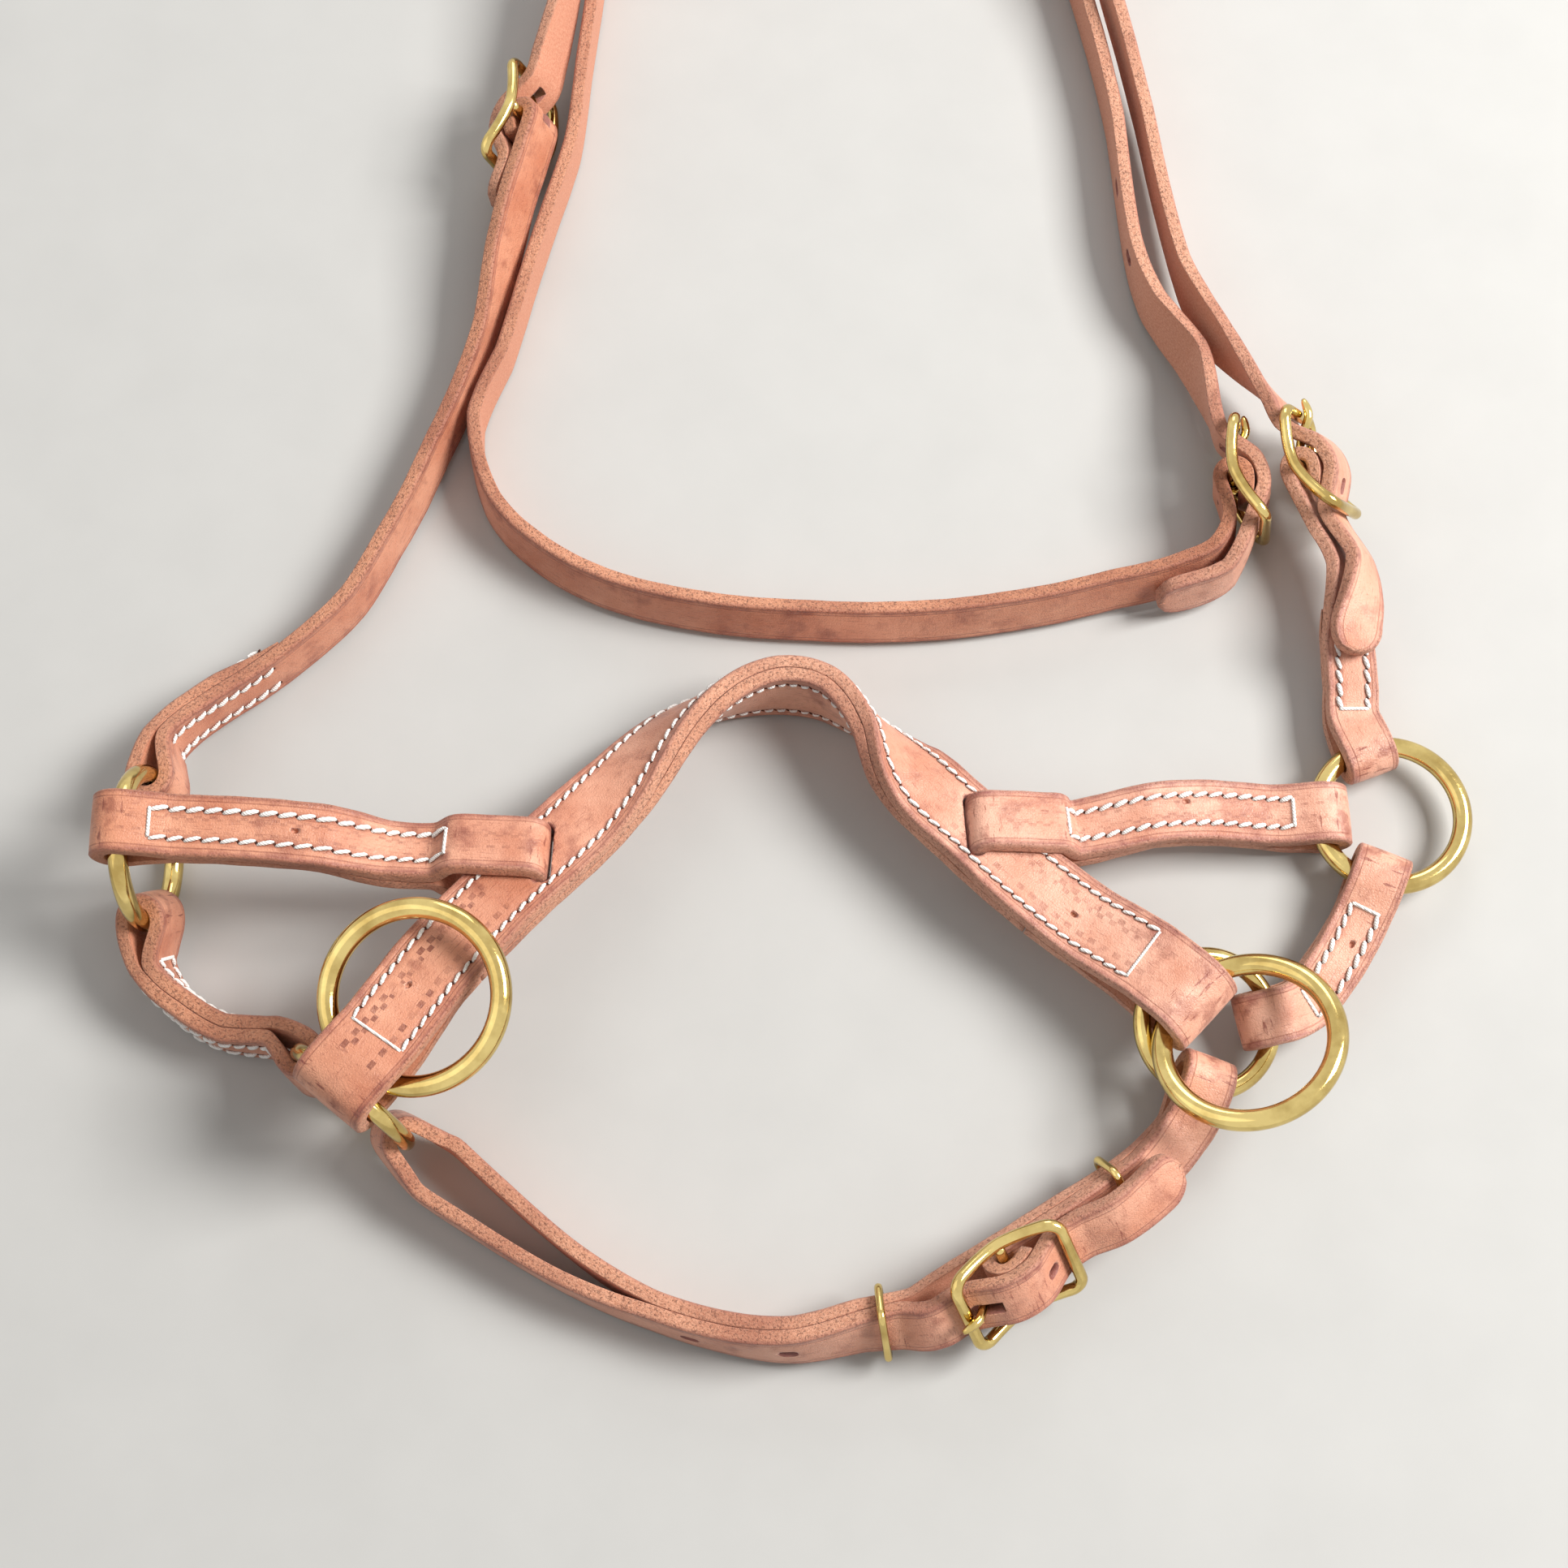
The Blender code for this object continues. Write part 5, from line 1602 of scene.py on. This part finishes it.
@dataclass
class Crown(Assembly):
    """Crown strap with split ends: cheek billets, throat lash and throat billet."""

    cheeks: CheekStraps
    poll_extra: float = 1.0

    def __post_init__(self) -> None:
        """Lays both branches and the throat buckle."""
        spot = vec(136.6, 102.0, 14.8)
        heading = unit(vec(-0.22, 0.97, 0))
        lean = vec(-0.15, -0.03, 0.98)
        stub = Route(controls_from([spot - 22 * heading, spot, spot + 6 * heading],
                                   [lean] * 3, -90))
        self.buckle = Buckle("throat_buckle", stub, 22.0, SZ.bar_depth, -1)
        start = self.cheeks.buckle_right.billet_spots(62.0)
        stop = self.cheeks.buckle_left.billet_spots(32.0)[::-1]
        upper = [(vec(139.0, 154.0, 15.0), vec(0.2, 0.1, 0.95)), (vec(129.0, 180.0, 12.0), UP),
                 (vec(119.5, 235.7, 11.0), UP), (vec(111.0, 275.0, 15.0), UP),
                 (vec(97.0, 322.0, 22.0), UP)]
        lower = [(vec(131.0, 149.0, 11.5), vec(0.3, 0.2, 0.92)),
                 (vec(120.0, 168.0, 9.0), vec(0.2, 0, 0.98)), (vec(114.0, 190.0, 8.4), UP),
                 (vec(110.0, 236.0, 8.3), UP), (vec(103.0, 275.0, 8.3), UP),
                 (vec(91.0, 322.0, 8.3), UP)]
        self.arch = [vec(74, 366, 0), vec(48, 401, 0), vec(10, 420, 0), vec(-26, 408, 0),
                     vec(-49, 372, 0)]
        self.low_z = SZ.strap_w / 2 + 0.1
        high_z = self.low_z + SZ.strap_w + 1.0
        upper += [(p + high_z * UP, UP) for p in self.arch]
        lower += [(p + self.low_z * UP, UP) for p in self.arch]
        upper += [(vec(-63, 328, 24.0), UP), (vec(-71.5, 285, 20.5), vec(-0.2, 0, 0.95))]
        spots = start + upper + stop
        self.branch_a = Route(controls_from([p for p, _ in spots], [w for _, w in spots], -58))
        left = self.cheeks.left
        beside = [(left.place(left.length - s, -n)[:2], 8.3) for s, n in
                  ((5, 13.0), (30, 12.5), (58, 11.0), (85, 9.8), (108, 9.2))]
        tip = [vec(116.0, 65.8, 10.5), vec(127.9, 68.9, 11.0), vec(138.4, 73.8, 12.2)]
        start = [(p, vec(0, 0.2, 0.97)) for p in tip] + self.buckle.billet_spots(26.0)[2:]
        lower += [(vec(-59, 328, 8.3), UP), (vec(-64, 285, 8.3), UP),
                  (vec(-67.0, 258, 8.3), UP)]
        lower += [(vec(xy[0], xy[1], z), UP) for xy, z in beside]
        sweep = [vec(-91.5, 98.0, 8.4), vec(-78.5, 83.5, 8.5), vec(-61.8, 72.7, 8.6),
                 vec(-41.6, 65.6, 8.7), vec(-16.5, 61.0, 8.7), vec(8.5, 59.2, 8.7),
                 vec(33.5, 58.7, 8.7), vec(58.6, 60.6, 8.7), vec(83.7, 64.8, 8.8),
                 vec(104.0, 69.6, 9.4), vec(115.0, 71.8, 10.5), vec(126.0, 75.2, 11.8)]
        lower += [(p, vec(0, 0.3, 0.94)) for p in sweep]
        lower += [(vec(134.6, 79.8, 13.2), vec(-0.1, 0.2, 0.96))]
        lower += [(spot - 12 * heading, lean), (spot, lean), (spot + 6 * heading, lean)]
        spots = start + lower
        self.branch_b = Route(controls_from([p for p, _ in spots], [w for _, w in spots], -90))

    def build(self) -> None:
        """Makes the crown with its holes, and the three buckles that it runs through."""
        a, b = self.branch_a, self.branch_b
        start = [(s, 0.0) for s in (0.0, 3.0, 7.0)]
        stop = [(a.length - s, 0.0) for s in (7.0, 3.0, 0.0)]
        # Each strap's last pair darkens its leather, the throat branch most towards its end:
        # partly real tone, partly painted shade.
        self.lay(Band("crown_strap", a, start + stop, SZ.strap_w, tips=("start", "end"),
                      phase=0.3, tan=(0.3, 0.5)),
                 cuts=self.cheeks.buckle_left.billet_cuts()
                 + self.cheeks.buckle_right.billet_cuts())
        bar = b.length - 6.0
        turned = float(np.sign(np.dot(b.frame(bar)[2], self.buckle.face)))
        grip = [(bar + s - self.buckle.s, turned * n) for s, n in self.buckle.carrier()]
        self.lay(Band("throat_branch", b, start + [(grip[0][0] - 14.0, 0.0)] + grip, SZ.strap_w,
                      tips=("start",), phase=2.0, tan=(0.25, 0.85)),
                 cuts=[punched(b, s, 0.0, 0.8) for s in (150.0, 176.0)]
                 + [self.buckle.carrier_cut()] + self.buckle.billet_cuts(), is_node=False)
        seam_z = self.low_z + SZ.strap_w / 2 + 0.5
        seam = Route([(*(p + seam_z * UP), -90) for p in self.arch])
        self.lay(Band("poll", seam, [(0.0, 0.0), (seam.length, 0.0)],
                      2 * SZ.strap_w + self.poll_extra, thick=SZ.thick + 0.1, phase=1.1,
                      tan=(0.42, 0.5)), is_node=False)
        for buckle in (self.cheeks.buckle_left, self.cheeks.buckle_right, self.buckle):
            buckle.build(self.shop)


@dataclass(frozen=True)
class Signal:
    """Output of a shader node, which can be reckoned with."""

    graph: "Graph"
    socket: bpy.types.NodeSocket

    def math(self, how: str, other: object = 0.0) -> "Signal":
        """Puts a maths node behind the signal.

        Args:
            how: What the node does.
            other: Its second input, a signal or a number.

        Returns:
            What comes out.
        """
        made = self.graph.node("ShaderNodeMath", operation=how)
        self.graph.put(self, made.inputs[0])
        self.graph.put(other, made.inputs[1])
        return Signal(self.graph, made.outputs[0])

    def __add__(self, other: object) -> "Signal":
        """Adds a signal or a number."""
        return self.math("ADD", other)

    def __sub__(self, other: object) -> "Signal":
        """Takes away a signal or a number."""
        return self.math("SUBTRACT", other)

    def __mul__(self, other: object) -> "Signal":
        """Multiplies by a signal or a number."""
        return self.math("MULTIPLY", other)

    def __abs__(self) -> "Signal":
        """Drops the sign."""
        return self.math("ABSOLUTE")

    def ramp(self, low: float, high: float, out_low: float = 0.0,
             out_high: float = 1.0) -> "Signal":
        """Maps the signal from one range to another, clamped."""
        return self.graph.out("ShaderNodeMapRange", "Result", Value=self, From_Min=low,
                              From_Max=high, To_Min=out_low, To_Max=out_high)


class Graph:
    """Short ways to lay the shader nodes of one material."""

    def __init__(self, name: str) -> None:
        """Makes a material with a Principled shader.

        Args:
            name: Its name.
        """
        self.material = bpy.data.materials.new(name)
        self.material.use_nodes = True
        self.tree = self.material.node_tree
        self.shader = self.tree.nodes["Principled BSDF"]
        self.where = self.out("ShaderNodeTexCoord", "Object")

    def put(self, value: object, slot: bpy.types.NodeSocket) -> None:
        """Feeds an input.

        Args:
            value: A signal, a number, or three numbers for a colour or a scale.
            slot: The input.
        """
        if isinstance(value, Signal):
            self.tree.links.new(value.socket, slot)
        elif isinstance(value, tuple):
            slot.default_value = (*value, 1.0)[:len(slot.default_value)]
        else:
            slot.default_value = value

    def node(self, kind: str, **values: object) -> bpy.types.Node:
        """Adds a node.

        Args:
            kind: Its type.
            values: What its inputs and properties get, by name.

        Returns:
            The node.
        """
        made = self.tree.nodes.new(kind)
        for key, value in values.items():
            label = key.replace("_", " ")
            if label in made.inputs:
                self.put(value, made.inputs[label])
            else:
                setattr(made, key, value)
        return made

    def out(self, kind: str, output: str, **values: object) -> Signal:
        """Adds a node and takes one of its outputs."""
        return Signal(self, self.node(kind, **values).outputs[output])

    def zone(self, zone: Zone) -> Signal:
        """Reads one of the strap's zones."""
        return self.out("ShaderNodeAttribute", "Fac", attribute_name=zone.value)

    def stretched(self, at: Signal, scale: tuple[float, float, float]) -> Signal:
        """Stretches coordinates."""
        return self.out("ShaderNodeMapping", "Vector", Vector=at, Scale=scale)

    def noise(self, scale: float, detail: float = 4.0, rough: float = 0.55,
              at: Signal | None = None) -> Signal:
        """Adds a noise texture, at the object's own coordinates unless others are given."""
        return self.out("ShaderNodeTexNoise", "Fac", Vector=self.where if at is None else at,
                        Scale=scale, Detail=detail, Roughness=rough)

    def mix(self, factor: Signal, a: object, b: object, how: str = "MIX") -> Signal:
        """Mixes two colours.

        Args:
            factor: Share of the second one.
            a: First colour, or a signal with one.
            b: Second one.
            how: Way of mixing.

        Returns:
            The mixed colour.
        """
        made = self.node("ShaderNodeMix", data_type="RGBA", blend_type=how)
        for place, value in ((0, factor), (6, a), (7, b)):
            self.put(value, made.inputs[place])
        return Signal(self, made.outputs[2])

    def layers(self, color: object, *coats: tuple[Signal, object]) -> Signal:
        """Lays colours over one another.

        Args:
            color: The lowest one.
            coats: Where each further one shows, and the colour.

        Returns:
            What is seen from above.
        """
        for mask, tone in coats:
            color = self.mix(mask, color, tone)
        return color

    def relief(self, *bumps: tuple[Signal, float, float]) -> Signal:
        """Stacks bumps.

        Args:
            bumps: Height, strength and distance of each, the first one lowest.

        Returns:
            The normal.
        """
        below = {}
        for height, strength, distance in bumps:
            normal = self.out("ShaderNodeBump", "Normal", Height=height, Strength=strength,
                              Distance=distance, **below)
            below = {"Normal": normal}
        return normal

    def finish(self, **inputs: object) -> bpy.types.Material:
        """Feeds the shader.

        Args:
            inputs: What its inputs get, by name.

        Returns:
            The material.
        """
        for name, value in inputs.items():
            self.put(value, self.shader.inputs[name.replace("_", " ")])
        return self.material


@dataclass(frozen=True)
class RussetLeather:
    """Natural veg-tanned leather: grain, mottling, pull-up marks, fibrous pale edges, and a
    darkening per strap that is partly real tone and partly painted shade.
    """

    pale: Tone = (0.85, 0.475, 0.350)
    mid: Tone = (0.61, 0.255, 0.160)
    deep: Tone = (0.25, 0.058, 0.036)
    edge_pale: Tone = (0.83, 0.465, 0.330)
    edge_deep: Tone = (0.48, 0.195, 0.112)
    pore: Tone = (0.24, 0.085, 0.050)
    rim: Tone = (0.23, 0.055, 0.050)
    soiled: Tone = (0.37, 0.135, 0.090)
    pressed: Tone = (0.21, 0.050, 0.030)
    # The tone that darkened leather is multiplied towards: partly real tone, partly painted
    # shade.
    tanned_and_shaded: Tone = (0.76, 0.57, 0.43)
    crease_at: float = 2.4
    stamp_pitch: float = 4.4

    def make(self) -> bpy.types.Material:
        """Makes the material.

        Returns:
            The leather.
        """
        g = Graph("russet_leather_finish")
        strap = g.out("ShaderNodeUVMap", "UV", uv_map="strap")
        flat = g.node("ShaderNodeSeparateXYZ", Vector=strap)
        along, across = Signal(g, flat.outputs["X"]), Signal(g, flat.outputs["Y"])
        edge, flesh, bend = g.zone(Zone.EDGE), g.zone(Zone.FLESH), g.zone(Zone.BEND)
        rim = g.zone(Zone.RIM)
        streak = g.noise(1.0, 5.0, 0.6, g.stretched(strap, (18.0, 190.0, 1.0)))
        cracks = g.noise(1.0, 6.0, 0.65, g.stretched(strap, (95.0, 13.0, 1.0)))
        smoky = rim + g.noise(210.0, 4.0).ramp(0.3, 0.7, -0.7, 0.7)
        crease = abs(rim - self.crease_at).ramp(0.08, 0.30, 0.5, 0.0)
        grain = g.layers(
            g.mix(g.noise(38.0, 5.0, 0.6).ramp(0.34, 0.68), self.mid, self.pale),
            (g.noise(95.0, 6.0, 0.62).ramp(0.53, 0.74, 0.0, 0.75), self.deep),
            (streak.ramp(0.56, 0.69, 0.0, 0.50), self.deep),
            (bend * g.noise(70.0).ramp(0.40, 0.62, 0.0, 0.85), self.pale),
            (bend * g.noise(150.0).ramp(0.52, 0.66, 0.0, 0.7), self.deep),
            (cracks.ramp(0.57, 0.64) * bend.ramp(0.06, 0.35, 0.0, 0.85), self.deep),
            (smoky.ramp(0.5, self.crease_at, 0.80, 0.0), self.rim),
            (crease, self.deep),
            (g.noise(1500.0, 2.0, 0.5).ramp(0.62, 0.72) * 0.35, self.deep))
        fibre = g.noise(1.15, 6.0, 0.7, g.out(
            "ShaderNodeCombineXYZ", "Vector", X=along * 95.0, Y=g.zone(Zone.LEVEL) * 1.9,
            Z=across * 150.0))
        dots = g.noise(1300.0, 3.0, 0.6).ramp(0.56, 0.66)
        cut = g.layers(g.mix(fibre.ramp(0.30, 0.56), self.edge_deep, self.edge_pale),
                       (dots * 0.55, self.pore),
                       (g.noise(24.0, 5.0, 0.6).ramp(0.46, 0.66, 0.0, 0.62), self.soiled))
        suede = g.mix(fibre.ramp(0.35, 0.7), self.mid, self.edge_pale)
        marks = self._stamps(g, along, across)
        color = g.layers(grain, (edge, cut), (flesh * 0.9, suede),
                         (g.zone(Zone.GROOVE) * 0.55, self.deep), (marks * 0.85, self.pressed))
        rough = g.noise(120.0, 4.0).ramp(0.3, 0.7, 0.38, 0.58)
        rough = rough.math("MAXIMUM", edge * 0.86).math("MAXIMUM", flesh * 0.92)
        cells = g.out("ShaderNodeTexVoronoi", "Distance", Vector=g.where, Scale=1150.0,
                      feature="DISTANCE_TO_EDGE")
        relief = g.relief((cells.ramp(0.0, 0.22), 0.30, 0.00025),
                          (g.noise(240.0, 6.0, 0.7), 0.45, 0.0007),
                          (crease * -1.0, 0.5, 0.0004),
                          ((fibre + dots) * edge, 0.75, 0.0005),
                          (marks * -1.0, 0.8, 0.0005))
        # Multiplies the colour towards the darker tone by the strap's darkness: partly real
        # tone, partly painted shade.
        return g.finish(Base_Color=g.mix(g.zone(Zone.TAN), color, self.tanned_and_shaded, "MULTIPLY"),
                        Roughness=rough, Normal=relief, Specular_IOR_Level=0.52,
                        Sheen_Weight=0.12, Sheen_Roughness=0.5)

    def _stamps(self, g: Graph, along: Signal, across: Signal) -> Signal:
        """Lays two lines of small stamped squares inside the stitch rows.

        Args:
            g: The material being made.
            along: Distance along the strap, in decimetres.
            across: Distance across it.

        Returns:
            1 inside a square, 0 outside.
        """
        step = along * (100.0 / self.stamp_pitch)
        lane = g.zone(Zone.LANE)
        cell = abs(step.math("FRACT") - 0.5)
        outer = cell.math("LESS_THAN", 0.26) * abs(abs(lane) - 1.0).math("LESS_THAN", 0.17)
        inner = cell.math("GREATER_THAN", 0.27) * abs(lane - 0.66).math("LESS_THAN", 0.15)
        seed = (step.math("FLOOR") * 12.9 + across.math("SIGN") * 7.7).math("SINE") * 43.7
        depth = seed.math("FRACT").ramp(0.08, 0.55, 0.25, 1.0)
        patchy = g.noise(420.0, 3.0).ramp(0.3, 0.6, 0.45, 1.0)
        return outer.math("MAXIMUM", inner) * (depth * patchy) * g.zone(Zone.STAMP)


@dataclass(frozen=True)
class PolishedBrass:
    """Solid brass, polished, with fine handling marks."""

    bright: Tone = (0.74, 0.57, 0.22)
    warm: Tone = (0.46, 0.32, 0.10)

    def make(self) -> bpy.types.Material:
        """Makes the material.

        Returns:
            The brass.
        """
        g = Graph("polished_brass_finish")
        rub = g.noise(420.0, 6.0, 0.7, g.stretched(g.where, (1.0, 3.5, 0.6)))
        tone = g.noise(85.0, 4.0).ramp(0.38, 0.66)
        return g.finish(Base_Color=g.mix(tone, self.bright, self.warm),
                        Roughness=rub.ramp(0.35, 0.75, 0.07, 0.21),
                        Normal=g.relief((rub, 0.05, 0.0002)), Metallic=1.0)


@dataclass(frozen=True)
class WaxedThread:
    """Thick white waxed thread with a visible twist, whose grooves between the plies get painted
    shade.
    """

    light: Tone = (0.90, 0.89, 0.86)
    # Grey that serves both as painted shade in the twist's grooves and as faint dirt.
    groove_shade_and_dirt: Tone = (0.62, 0.60, 0.60)

    def make(self) -> bpy.types.Material:
        """Makes the material.

        Returns:
            The thread.
        """
        g = Graph("white_thread_finish")
        ply = g.out("ShaderNodeTexWave", "Fac", Vector=g.where, Scale=620.0, Distortion=2.0,
                    Detail=2.0, bands_direction="DIAGONAL")
        tint = g.mix(g.noise(300.0, 4.0).ramp(0.4, 0.75) * 0.35, self.light, self.groove_shade_and_dirt)
        # Darker bands along the ply wave are painted shade in the grooves between the plies; the
        # noise tint above is faint dirt.
        return g.finish(Base_Color=g.mix(ply.ramp(0.0, 0.45, 0.45, 0.0), tint, self.groove_shade_and_dirt),
                        Normal=g.relief((ply, 0.45, 0.0003)), Roughness=0.55,
                        Sheen_Weight=0.2)


@dataclass(frozen=True)
class AwlHoleShade:
    """Painted shade: dark sunk slits that stand for the shade inside the stitch holes."""

    color: Tone = (0.055, 0.02, 0.014)
    # A paler painted shade, mixed in at random.
    paler_hole_shade: Tone = (0.12, 0.045, 0.03)

    def make(self) -> bpy.types.Material:
        """Makes the material.

        Returns:
            The dark finish.
        """
        g = Graph("awl_hole_finish")
        tone = g.noise(500.0, 2.0).ramp(0.4, 0.7)
        return g.finish(Base_Color=g.mix(tone, self.color, self.paler_hole_shade), Roughness=0.95,
                        Specular_IOR_Level=0.1)


@dataclass
class Studio:
    """Pale floor, soft light and the photograph's camera."""

    shop: Workshop
    elevation: float = 72.0
    distance: float = 0.8
    lens_px: float = 3200.0
    frame_px: float = 1932.0
    sensor: float = 36.0
    aim: tuple[float, float, float] = (0.0, 8.9, 0.0)
    floor_color: Tone = (0.54, 0.54, 0.53)
    floor_half: float = 6.0
    floor_drop: float = 0.0004
    fade: tuple[float, float] = (0.5, 1.6)
    surround: float = 0.33
    lamps: tuple[tuple[str, Tone, float, float, Tone], ...] = (
        ("key", (1.44, 0.16, 1.44), 0.90, 62.0, (1.0, 0.98, 0.95)),
        ("fill", (-0.85, -0.25, 0.9), 1.0, 1.8, (1.0, 0.97, 0.93)),
        ("back", (0.1, 1.1, 0.7), 0.6, 4.0, (1.0, 1.0, 1.0)))

    def build(self) -> None:
        """Makes the floor, lamps, world and camera."""
        self._floor()
        self._world()
        for lamp in self.lamps:
            self._lamp(*lamp)
        self._camera()

    def _floor(self) -> None:
        """Makes the floor, faintly mottled, which turns to plain white far from the object."""
        mesh = bmesh.new()
        bmesh.ops.create_grid(mesh, x_segments=8, y_segments=8, size=self.floor_half)
        data = bpy.data.meshes.new("floor")
        mesh.to_mesh(data)
        mesh.free()
        data.transform(Matrix.Translation((0, 0, -self.floor_drop)))
        floor = bpy.data.objects.new("floor", data)
        bpy.context.scene.collection.objects.link(floor)
        g = Graph("pale_floor_finish")
        dimmer = tuple(0.96 * c for c in self.floor_color)
        tone = g.mix(g.noise(30.0, 5.0).ramp(0.3, 0.7), self.floor_color, dimmer)
        data.materials.append(g.finish(Base_Color=tone, Roughness=0.85,
                                       Specular_IOR_Level=0.2))
        far = g.out("ShaderNodeVectorMath", "Value", Vector=g.where, operation="LENGTH")
        white = g.tree.nodes.new("ShaderNodeEmission")
        share = far.ramp(*self.fade) * Signal(g, self._looked_at(g.tree))
        self._blend(g.tree, share.socket, g.shader, white, "Material Output")

    def _world(self) -> None:
        """Gives soft light all round, and plain white where the camera or a mirror looks."""
        world = bpy.data.worlds.new("studio")
        world.use_nodes = True
        tree = world.node_tree
        soft = tree.nodes["Background"]
        soft.inputs["Color"].default_value = (1.0, 0.98, 0.95, 1.0)
        soft.inputs["Strength"].default_value = self.surround
        white = tree.nodes.new("ShaderNodeBackground")
        white.inputs["Color"].default_value = (1.0, 1.0, 1.0, 1.0)
        self._blend(tree, self._looked_at(tree), soft, white, "World Output")
        bpy.context.scene.world = world

    @staticmethod
    def _blend(tree: bpy.types.NodeTree, share: bpy.types.NodeSocket, first: bpy.types.Node,
               second: bpy.types.Node, output: str) -> None:
        """Blends two shaders into the output.

        Args:
            tree: Where the nodes are.
            share: Share of the second shader.
            first: First shader.
            second: Second one.
            output: Name of the output node.
        """
        blend = tree.nodes.new("ShaderNodeMixShader")
        for source, slot in zip((share, first.outputs[0], second.outputs[0]), blend.inputs):
            tree.links.new(source, slot)
        tree.links.new(blend.outputs[0], tree.nodes[output].inputs["Surface"])

    @staticmethod
    def _looked_at(tree: bpy.types.NodeTree) -> bpy.types.NodeSocket:
        """Finds the rays that see the background: from the camera, off metal or through glass.

        Args:
            tree: Where the nodes go.

        Returns:
            A value of 1 for such a ray and 0 for the light on the object.
        """
        rays = tree.nodes.new("ShaderNodeLightPath")
        seen = rays.outputs["Is Camera Ray"]
        for name in ("Is Glossy Ray", "Is Transmission Ray"):
            either = tree.nodes.new("ShaderNodeMath")
            either.operation = "MAXIMUM"
            tree.links.new(seen, either.inputs[0])
            tree.links.new(rays.outputs[name], either.inputs[1])
            seen = either.outputs[0]
        return seen

    def _lamp(self, name: str, place: tuple[float, float, float], size: float, power: float,
              color: tuple[float, float, float]) -> None:
        """Adds a soft lamp aimed at the middle.

        Args:
            name: Name of the lamp.
            place: Where it hangs, in metres.
            size: Side of its panel.
            power: Watts.
            color: Its tint.
        """
        data = bpy.data.lights.new(name, "AREA")
        data.shape = "SQUARE"
        data.size = size
        data.energy = power
        data.color = color
        lamp = bpy.data.objects.new(name, data)
        lamp.location = place
        lamp.rotation_euler = (-lamp.location).to_track_quat("-Z", "Y").to_euler()
        bpy.context.scene.collection.objects.link(lamp)

    def _camera(self) -> None:
        """Sets the camera where the photograph was taken from."""
        rise = math.radians(self.elevation)
        back = Vector((0, -math.cos(rise), math.sin(rise)))
        data = bpy.data.cameras.new("photo_camera")
        data.sensor_width = self.sensor
        data.lens = self.sensor * self.lens_px / self.frame_px
        data.clip_start = 0.01
        camera = bpy.data.objects.new("photo_camera", data)
        camera.location = self.shop.matrix @ Vector(self.aim) + self.distance * back
        camera.rotation_euler = (-back).to_track_quat("-Z", "Y").to_euler()
        bpy.context.scene.collection.objects.link(camera)
        bpy.context.scene.camera = camera
        bpy.context.scene.view_settings.view_transform = "Standard"


def main() -> None:
    """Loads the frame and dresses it."""
    logging.basicConfig(level=logging.INFO, format="%(name)s: %(message)s")
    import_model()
    shop = Workshop(Finishes(RussetLeather().make(), PolishedBrass().make(),
                             WaxedThread().make(), AwlHoleShade().make()))
    rings = RingSet()
    rings.build(shop)
    noseband = Noseband(shop, rings)
    cheeks = CheekStraps(shop, rings)
    for part in (noseband, Connectors(shop, rings, noseband), Diagonals(shop, rings), cheeks,
                 ChinStrap(shop, rings), Crown(shop, rings, cheeks), Studio(shop)):
        part.build()
    LOG.info("%d pieces", shop.count)


if __name__ == "__main__":
    main()
